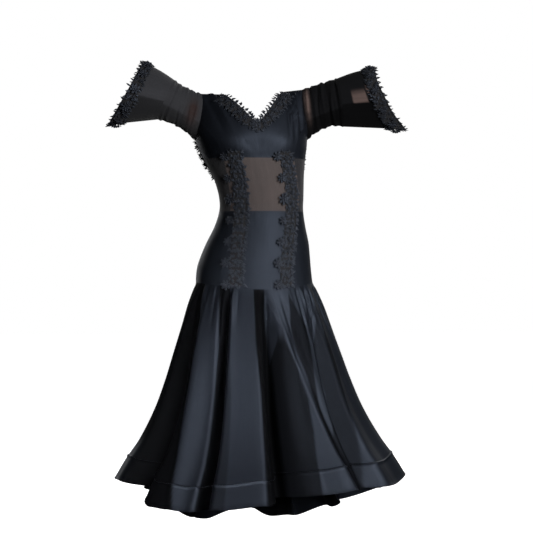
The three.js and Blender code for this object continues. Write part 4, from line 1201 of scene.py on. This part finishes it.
def walk(places, direction, distance):
    """Places reached along a direction, in mm, without leaving the surface of the body."""
    angle, height = places[..., 0], places[..., 1]
    for _ in range(WALK_STEPS):
        level_height = np.minimum(height, LACE_TOP)
        here = body(angle, level_height)
        by_angle = body(angle + 1, level_height) - here
        by_height = here - body(angle, level_height - 1)
        goal = direction * (distance / WALK_STEPS)
        aa, ah, hh = dot(by_angle, by_angle), dot(by_angle, by_height), dot(by_height, by_height)
        ga, gh = dot(by_angle, goal), dot(by_height, goal)
        spread = aa * hh - ah**2
        angle = angle + (ga * hh - gh * ah) / spread
        height = np.minimum(height + (gh * aa - ga * ah) / spread, LACE_TOP)
    return np.stack([angle, height], axis=-1)


def lace_band(edge, widths, into):
    """Places of a band of lace along an edge, from just past the edge to its full width."""
    count = len(edge)
    around = np.arange(count)
    before = on_body(edge[np.maximum(around - 1, 0)])
    after = on_body(edge[np.minimum(around + 1, count - 1)])
    across = unit(np.cross(after - before, body_normals(edge)) * into)
    down = unit(on_body(edge - [0, 1]) - on_body(edge))
    turn = ease(around / (count - 1), TURN_DOWN_FROM, 1)[:, None]
    across = unit(across * (1 - turn) + down * turn)
    shares = np.linspace(0, 1, LACE_COLUMNS)
    distances = [share * (widths + LACE_PAST_EDGE) - LACE_PAST_EDGE for share in shares]
    grid = [walk(edge, across, distance[:, None]) for distance in distances]
    return np.stack(grid, axis=1)


def facing_out(grid, normals):
    """Turns a grid round where its columns run the wrong way for its normals."""
    middle = len(grid) // 2
    if dot(grid_normals(grid)[middle, 1], normals[middle, 1]) > 0:
        return grid, normals
    return grid[::-1], normals[::-1]


def sampled(values, s, t):
    """Values of a grid at shares along and across it."""
    i, j = s * (len(values) - 1), t * (values.shape[1] - 1)
    i0 = np.clip(np.floor(i).astype(int), 0, len(values) - 2)
    j0 = np.clip(np.floor(j).astype(int), 0, values.shape[1] - 2)
    f, g = (i - i0)[:, None], (j - j0)[:, None]
    low = values[i0, j0] * (1 - f) + values[i0 + 1, j0] * f
    high = values[i0, j0 + 1] * (1 - f) + values[i0 + 1, j0 + 1] * f
    return low * (1 - g) + high * g


def motif_guide(grid, normals, leaf_rows, flower_rows, seed):
    """Roots, directions and sizes of leaves and flowers on a band; share 0 across is its outer edge."""
    rng = np.random.default_rng(seed)
    length = np.linalg.norm(np.diff(grid[:, grid.shape[1] // 2], axis=0), axis=-1).sum()
    guides = []
    for across, turn, size, spacing in leaf_rows:
        count = max(2, int(length / spacing))
        k = np.arange(count)
        s = np.clip((k + 0.5 + rng.uniform(-ASTRAY_ALONG, ASTRAY_ALONG, count)) / count, 0, 1)
        t = np.clip(across + rng.uniform(-ASTRAY_ACROSS, ASTRAY_ACROSS, count), 0, 1)
        way = turn * np.ones(count)
        if turn < ALTERNATE_BELOW:
            way = (way + rng.uniform(-LEAN, LEAN, count)) * np.where(k % 2, 1, -1)
        way = way + rng.uniform(-TWIST, TWIST, count)
        guides.append((s, t, way, size * rng.uniform(*LEAF_SIZES, count), np.full(count, LEAF)))
    for across, size, first, spacing in flower_rows:
        s = np.arange(first, length, spacing) / length
        t, sizes = np.full(len(s), float(across)), np.full(len(s), float(size))
        guides.append((s, t, rng.uniform(0, 360, len(s)), sizes, np.full(len(s), FLOWER)))
    s, t, way, size, kinds = (np.concatenate(column) for column in zip(*guides))
    facing = unit(sampled(normals, s, t))
    nearer_edge = np.maximum(t - OUTWARD_STEP, 0)
    outward = unit(sampled(grid, s, nearer_edge) - sampled(grid, s, nearer_edge + OUTWARD_STEP))
    sideways = unit(np.cross(facing, outward))
    along = outward * np.cos(way * DEGREE)[:, None] + sideways * np.sin(way * DEGREE)[:, None]
    lift = rng.uniform(*MOTIF_LIFTS, len(s)) + FLOWER_LIFT * size * (kinds == FLOWER)
    points = sampled(grid, s, t) + facing * lift[:, None]
    return points, facing, along, size, kinds


def thread_material():
    """Thick matt embroidery thread, wound side by side, with small glints on the turns."""
    material, tree, shader = new_material("guipure_thread")
    place = object_place(tree)
    share = noise(tree, place, 240.0, 2.0)
    turns = {"Vector": place, "Scale": 420.0}
    wound = node(tree, "ShaderNodeTexWave", {"bands_direction": "DIAGONAL"}, turns)
    finish = {
        "Base Color": blend(tree, share, THREAD_DARK, THREAD_LIGHT),
        "Normal": bumped(tree, wound * 0.00022 + share * 0.0002),
        "Roughness": 0.46,
        "Specular IOR Level": 0.55,
        "Specular Tint": SATIN_TINT,
    }
    fill(tree, shader, finish)
    return material


def motif_tree(material):
    """Geometry nodes that set a leaf, a flower or a stitch on each guide point, facing out."""
    tree = bpy.data.node_groups.new("guipure_motifs", "GeometryNodeTree")
    sizes = {
        "Leaf width": LEAF_WIDTH,
        "Leaf thickness": LEAF_THICK,
        "Leaf curl": LEAF_CURL,
        "Petal width": PETAL_WIDTH,
        "Petal thickness": PETAL_THICK,
        "Petal cup": PETAL_CUP,
        "Least size": UNEVEN_LEAST,
        "Most size": UNEVEN_MOST,
    }
    tree.interface.new_socket(name="Guide", in_out="INPUT", socket_type="NodeSocketGeometry")
    for label, value in sizes.items():
        socket = tree.interface.new_socket(name=label, in_out="INPUT", socket_type="NodeSocketFloat")
        socket.default_value = value
    for label, value in (("Petals", PETALS), ("Seed", MOTIF_SEED)):
        socket = tree.interface.new_socket(name=label, in_out="INPUT", socket_type="NodeSocketInt")
        socket.default_value = value
    tree.interface.new_socket(name="Lace", in_out="OUTPUT", socket_type="NodeSocketGeometry")
    entry = tree.nodes.new("NodeGroupInput")

    def given(label):
        return Wire(tree, entry.outputs[label])

    def made(kind, inputs, output=0, **settings):
        return node(tree, kind, settings, inputs, output)

    def parts(vector):
        split = tree.nodes.new("ShaderNodeSeparateXYZ")
        tree.links.new(vector.socket, split.inputs[0])
        return [Wire(tree, socket) for socket in split.outputs]

    def shaped(shape, place):
        return made("GeometryNodeSetPosition", {"Geometry": shape, "Position": place})

    def joined(*shapes):
        join = tree.nodes.new("GeometryNodeJoinGeometry")
        for shape in shapes:
            tree.links.new(shape.socket, join.inputs[0])
        return Wire(tree, join.outputs[0])

    ball = made("GeometryNodeMeshUVSphere", {"Segments": 8, "Rings": 6, "Radius": 1.0})
    x, y, z = parts(made("GeometryNodeInputPosition", {}))
    share = z * 0.5 + 0.5
    taper = (1.02 - share) ** 0.5
    leaf_place = {
        "X": share,
        "Y": x * taper * given("Leaf width") * 1.5,
        "Z": y * taper * given("Leaf thickness") + share * share * given("Leaf curl") + x * x * 0.05,
    }
    leaf = shaped(ball, made("ShaderNodeCombineXYZ", leaf_place))
    petal_place = {
        "X": share * 0.9 + 0.1,
        "Y": x * (share * 0.6 + 0.5) * given("Petal width"),
        "Z": y * given("Petal thickness") + share * share * given("Petal cup") + x * x * 0.05,
    }
    petal = shaped(ball, made("ShaderNodeCombineXYZ", petal_place))
    roots = made("GeometryNodePoints", {"Count": given("Petals")})
    petal_turn = made("GeometryNodeInputIndex", {}) * 2 * math.pi * (given("Petals") ** -1)
    ring = made(
        "GeometryNodeInstanceOnPoints",
        {"Points": roots, "Instance": petal, "Rotation": made("ShaderNodeCombineXYZ", {"Z": petal_turn})},
    )
    raised = {
        "Geometry": ring,
        "Translation": (0, 0, 0.16),
        "Rotation": (0, 0, 0.45),
        "Scale": (0.6, 0.6, 1.0),
    }
    bead = {"Geometry": ball, "Translation": (0, 0, 0.26), "Scale": (0.17, 0.17, 0.12)}
    flower = joined(ring, made("GeometryNodeTransform", raised), made("GeometryNodeTransform", bead))
    flower = made("GeometryNodeRealizeInstances", {"Geometry": flower})
    grain = made("GeometryNodeMeshUVSphere", {"Segments": 5, "Rings": 3, "Radius": 1.0})
    stitch = made("GeometryNodeTransform", {"Geometry": grain, "Scale": (0.5, 0.11, 0.08)})

    facing = made("GeometryNodeInputNamedAttribute", {"Name": "facing"}, data_type="FLOAT_VECTOR")
    along = made("GeometryNodeInputNamedAttribute", {"Name": "along"}, data_type="FLOAT_VECTOR")
    size = made("GeometryNodeInputNamedAttribute", {"Name": "size"}, data_type="FLOAT")
    kind_of = made("GeometryNodeInputNamedAttribute", {"Name": "kind"}, data_type="FLOAT")
    uneven = {2: given("Least size"), 3: given("Most size"), "Seed": given("Seed")}
    scale = size * made("FunctionNodeRandomValue", uneven, 1, data_type="FLOAT")
    turned = made(
        "FunctionNodeAxesToRotation",
        {"Primary Axis": facing, "Secondary Axis": along},
        primary_axis="Z",
        secondary_axis="X",
    )
    grown = [
        made(
            "GeometryNodeInstanceOnPoints",
            {
                "Points": given("Guide"),
                "Selection": kind_of.math("COMPARE", kind_of, kind, 0.25),
                "Instance": shape,
                "Rotation": turned,
                "Scale": scale,
            },
        )
        for kind, shape in ((LEAF, leaf), (FLOWER, flower), (STITCH, stitch))
    ]
    smooth_lace = made("GeometryNodeSetShadeSmooth", {"Geometry": joined(*grown)})
    real = made("GeometryNodeRealizeInstances", {"Geometry": smooth_lace})
    finished = made("GeometryNodeSetMaterial", {"Geometry": real, "Material": material})
    leave = tree.nodes.new("NodeGroupOutput")
    tree.links.new(finished.socket, leave.inputs["Lace"])
    return tree


def motifs(name, guide, tree, **sizes):
    """Grows the motifs on guide points and leaves them as one plain mesh."""
    points, facing, along, size, kinds = guide
    mesh = bpy.data.meshes.new(f"{name}_guide")
    mesh.from_pydata((points * MM).tolist(), [], [])
    columns = {
        "facing": ("FLOAT_VECTOR", "vector", facing),
        "along": ("FLOAT_VECTOR", "vector", along),
        "size": ("FLOAT", "value", size * MM),
        "kind": ("FLOAT", "value", kinds),
    }
    for key, (kind, field, values) in columns.items():
        column = mesh.attributes.new(key, kind, "POINT")
        column.data.foreach_set(field, np.ascontiguousarray(values, np.float32).ravel())
    guide_object = placed(f"{name}_guide", mesh)
    modifier = guide_object.modifiers.new("motifs", "NODES")
    modifier.node_group = tree
    for socket in tree.interface.items_tree:
        if socket.name in sizes and socket.in_out == "INPUT":
            modifier[socket.identifier] = sizes[socket.name]
    graph = bpy.context.evaluated_depsgraph_get()
    grown = bpy.data.meshes.new_from_object(guide_object.evaluated_get(graph))
    bpy.data.objects.remove(guide_object)
    piece = placed(name, grown)
    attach(piece, "root")
    return piece


thread = thread_material()
net = mesh_material("lace_net", MESH_BLACK_DARK, NET_BLACK, MESH_SOLID)
guipure = motif_tree(thread)


def sew_lace(name, grid, normals, rows, flowers, seed, trim=(0.1, 0.9), **sizes):
    """One piece of lace: its net and, on it, the leaves and flowers."""
    guide = motif_guide(grid + normals * LACE_NET_LIFT, normals, rows, flowers, seed)
    raised = motifs(f"{name}_motifs", guide, guipure, **sizes)
    count = grid.shape[1]
    kept = np.linspace(trim[0], trim[1], count)
    s = np.repeat(np.linspace(0, 1, len(grid)), count)
    t = np.tile(kept, len(grid))
    net_grid = sampled(grid, s, t).reshape(grid.shape)
    net_normals = unit(sampled(normals, s, t)).reshape(grid.shape)
    net_grid, net_normals = facing_out(net_grid + net_normals * LACE_NET_LIFT, net_normals)
    settings = {"thick": LACE_NET_THICK, "normals": net_normals, "with_pieces": [raised]}
    cloth(f"{name}_net", net_grid, net, "lace", **settings)


# share across from the outer edge, turn from straight out in degrees, length, spacing
EDGE_ROWS = [
    (0.06, 24, 12, 7),
    (0.22, 55, 11, 7.5),
    (0.42, 70, 10, 7),
    (0.62, 110, 10, 7),
    (0.84, 140, 11, 7.5),
    (0.9, 175, 10, 9),
]
# share across, radius, first place, spacing
NECK_FLOWERS = [(0.5, 8.5, 8, 27), (0.82, 6, 20, 31), (0.22, 5.5, 15, 36)]
BACK_FLOWERS = [(0.55, 7.5, 12, 30), (0.25, 5.5, 26, 41)]

neck_edge = line(NECK_LACE_START, *NECKLINE[1:], count=NECK_STEPS)
towards_point = np.linspace(0, 1, NECK_STEPS) ** 2
neck_widths = NECK_LACE_WIDTH + (NECK_LACE_AT_POINT - NECK_LACE_WIDTH) * towards_point
neck_places = lace_band(neck_edge, neck_widths, -1)
back_rows = [BACK_LACE_START, *BACK_EDGE[:-1][::-1], *LOWER_BACK_EDGE[1:]]
back_edge = line(*back_rows, count=BACK_STEPS)
back_widths = np.interp(np.linspace(0, 1, BACK_STEPS), *zip(*BACK_LACE_WIDTHS))
back_places = lace_band(back_edge, back_widths, 1)
for side, way in (("right", 1), ("left", -1)):
    places = neck_places * [way, 1]
    seed = 11 + way
    neck = on_body(places), body_normals(places)
    sew_lace(f"lace_neckline_{side}", *neck, EDGE_ROWS, NECK_FLOWERS, seed)
    places = back_places * [way, 1]
    back = on_body(places), body_normals(places)
    curled = {"Leaf curl": BACK_LEAF_CURL[side]}
    sew_lace(f"lace_back_{side}", *back, EDGE_ROWS, BACK_FLOWERS, seed + 30, **curled)

STRIP_ROWS = [
    (0.2, 60, 11, 10),
    (0.34, 80, 11, 7),
    (0.46, 40, 11, 7),
    (0.56, 130, 11, 7),
    (0.7, 90, 11, 7),
    (0.84, 150, 12, 7.5),
    (0.9, 135, 13, 10),
]
STRIP_SMALL_FLOWERS = [(0.55, 7.5, 18, 33), (0.8, 6, 34, 47), (0.3, 6, 40, 61)]
strip_height = np.linspace(STRIP_TOP, STRIP_BOTTOM, STRIP_STEPS)[:, None]
strip_flowers = [(-0.06, FLOWER_RADIUS, STRIP_TOP - FLOWER_FIRST, FLOWER_SPACING), *STRIP_SMALL_FLOWERS]
for side, way in (("left", -1), ("right", 1)):
    x = way * STRIP_X + np.linspace(-1, 1, LACE_COLUMNS)[None, :] * STRIP_HALF_WIDTH
    half_width = smooth(BODY, strip_height)[..., 0]
    places = np.stack(np.broadcast_arrays(np.arcsin(x / half_width) / DEGREE, strip_height), axis=-1)
    strip = on_body(places), body_normals(places)
    sew_lace(f"lace_strip_{side}", *strip, STRIP_ROWS, strip_flowers, 60 + way, (0.14, 0.9))

CUFF_LACE_ROWS = [
    (0.06, 30, 11, 8),
    (0.25, 60, 11, 8),
    (0.45, 80, 10, 7.5),
    (0.65, 115, 10, 7.5),
    (0.85, 150, 11, 8),
]
CUFF_FLOWERS = [(0.5, 15, 20, 46), (0.75, 8, 43, 46), (0.2, 7, 4, 46)]
for name in SLEEVES:
    turns = turns_for(name, SLEEVE_TURNS)
    ring_turns = np.concatenate([turns, turns[:1]])
    shares = np.linspace(CUFF_LACE_END, CUFF_LACE_START, LACE_COLUMNS)[None, :]
    ring_turns, shares = np.broadcast_arrays(ring_turns, shares)
    ring = cuff(name, ring_turns, shares)
    ring_normals = grid_normals(ring[:-1], True)
    ring_normals = -np.concatenate([ring_normals, ring_normals[:1]])
    lace_rows = CUFF_LACE_ROWS, CUFF_FLOWERS, 80, (0.06, 0.92)
    sew_lace(f"lace_cuff_{name}", ring, ring_normals, *lace_rows)

# ------------------------------------------------------------------ stitches
# Topstitching in thick thread: a row that holds the upper edge of each hem band, one round the top
# of the yoke and one along the underbust seam.

STITCH_LENGTH, STITCH_SPACING, STITCH_LIFT = 3.0, 4.2, 0.4
SEAM_STITCH_OFFSET, STITCH_STEP = 2.5, 0.25


def stitch_guide(rows):
    """Guide points at even steps along rows of points and their normals."""
    guides = []
    for points, normals in rows:
        walked = np.append(0, np.cumsum(np.linalg.norm(np.diff(points, axis=0), axis=-1)))
        at = np.arange(STITCH_SPACING / 2, walked[-1] - STITCH_LENGTH / 2, STITCH_SPACING)
        place, ahead, facing = (
            np.stack([np.interp(at + step, walked, values[:, c]) for c in range(3)], axis=-1)
            for step, values in ((0, points), (1, points), (0, normals))
        )
        guides.append((place + unit(facing) * STITCH_LIFT, unit(facing), unit(ahead - place)))
    place, facing, along = (np.concatenate(column) for column in zip(*guides))
    return place, facing, along, np.full(len(place), STITCH_LENGTH), np.full(len(place), STITCH)


stitch_rows = []
for name, start, end in GORES:
    angles = np.arange(start + STITCH_STEP, end, STITCH_STEP)
    drops = 1 - (1 - band_top(angles)) * BAND_EDGE
    normals = skirt_normals(angles, drops)
    edge = skirt(angles, drops) + normals * (BAND_EDGE_PROUD + creases(angles, drops))[:, None]
    stitch_rows.append((edge, normals))
for height, start, end in (
    (MIDRIFF_BOTTOM - SEAM_STITCH_OFFSET, 0, 360),
    (UNDERBUST + SEAM_STITCH_OFFSET, -BACK_EDGE[0][0], BACK_EDGE[0][0]),
):
    places = line((start, height), (end, height), count=int((end - start) / STITCH_STEP))
    stitch_rows.append((on_body(places), body_normals(places)))
motifs("seam_stitches", stitch_guide(stitch_rows), guipure)
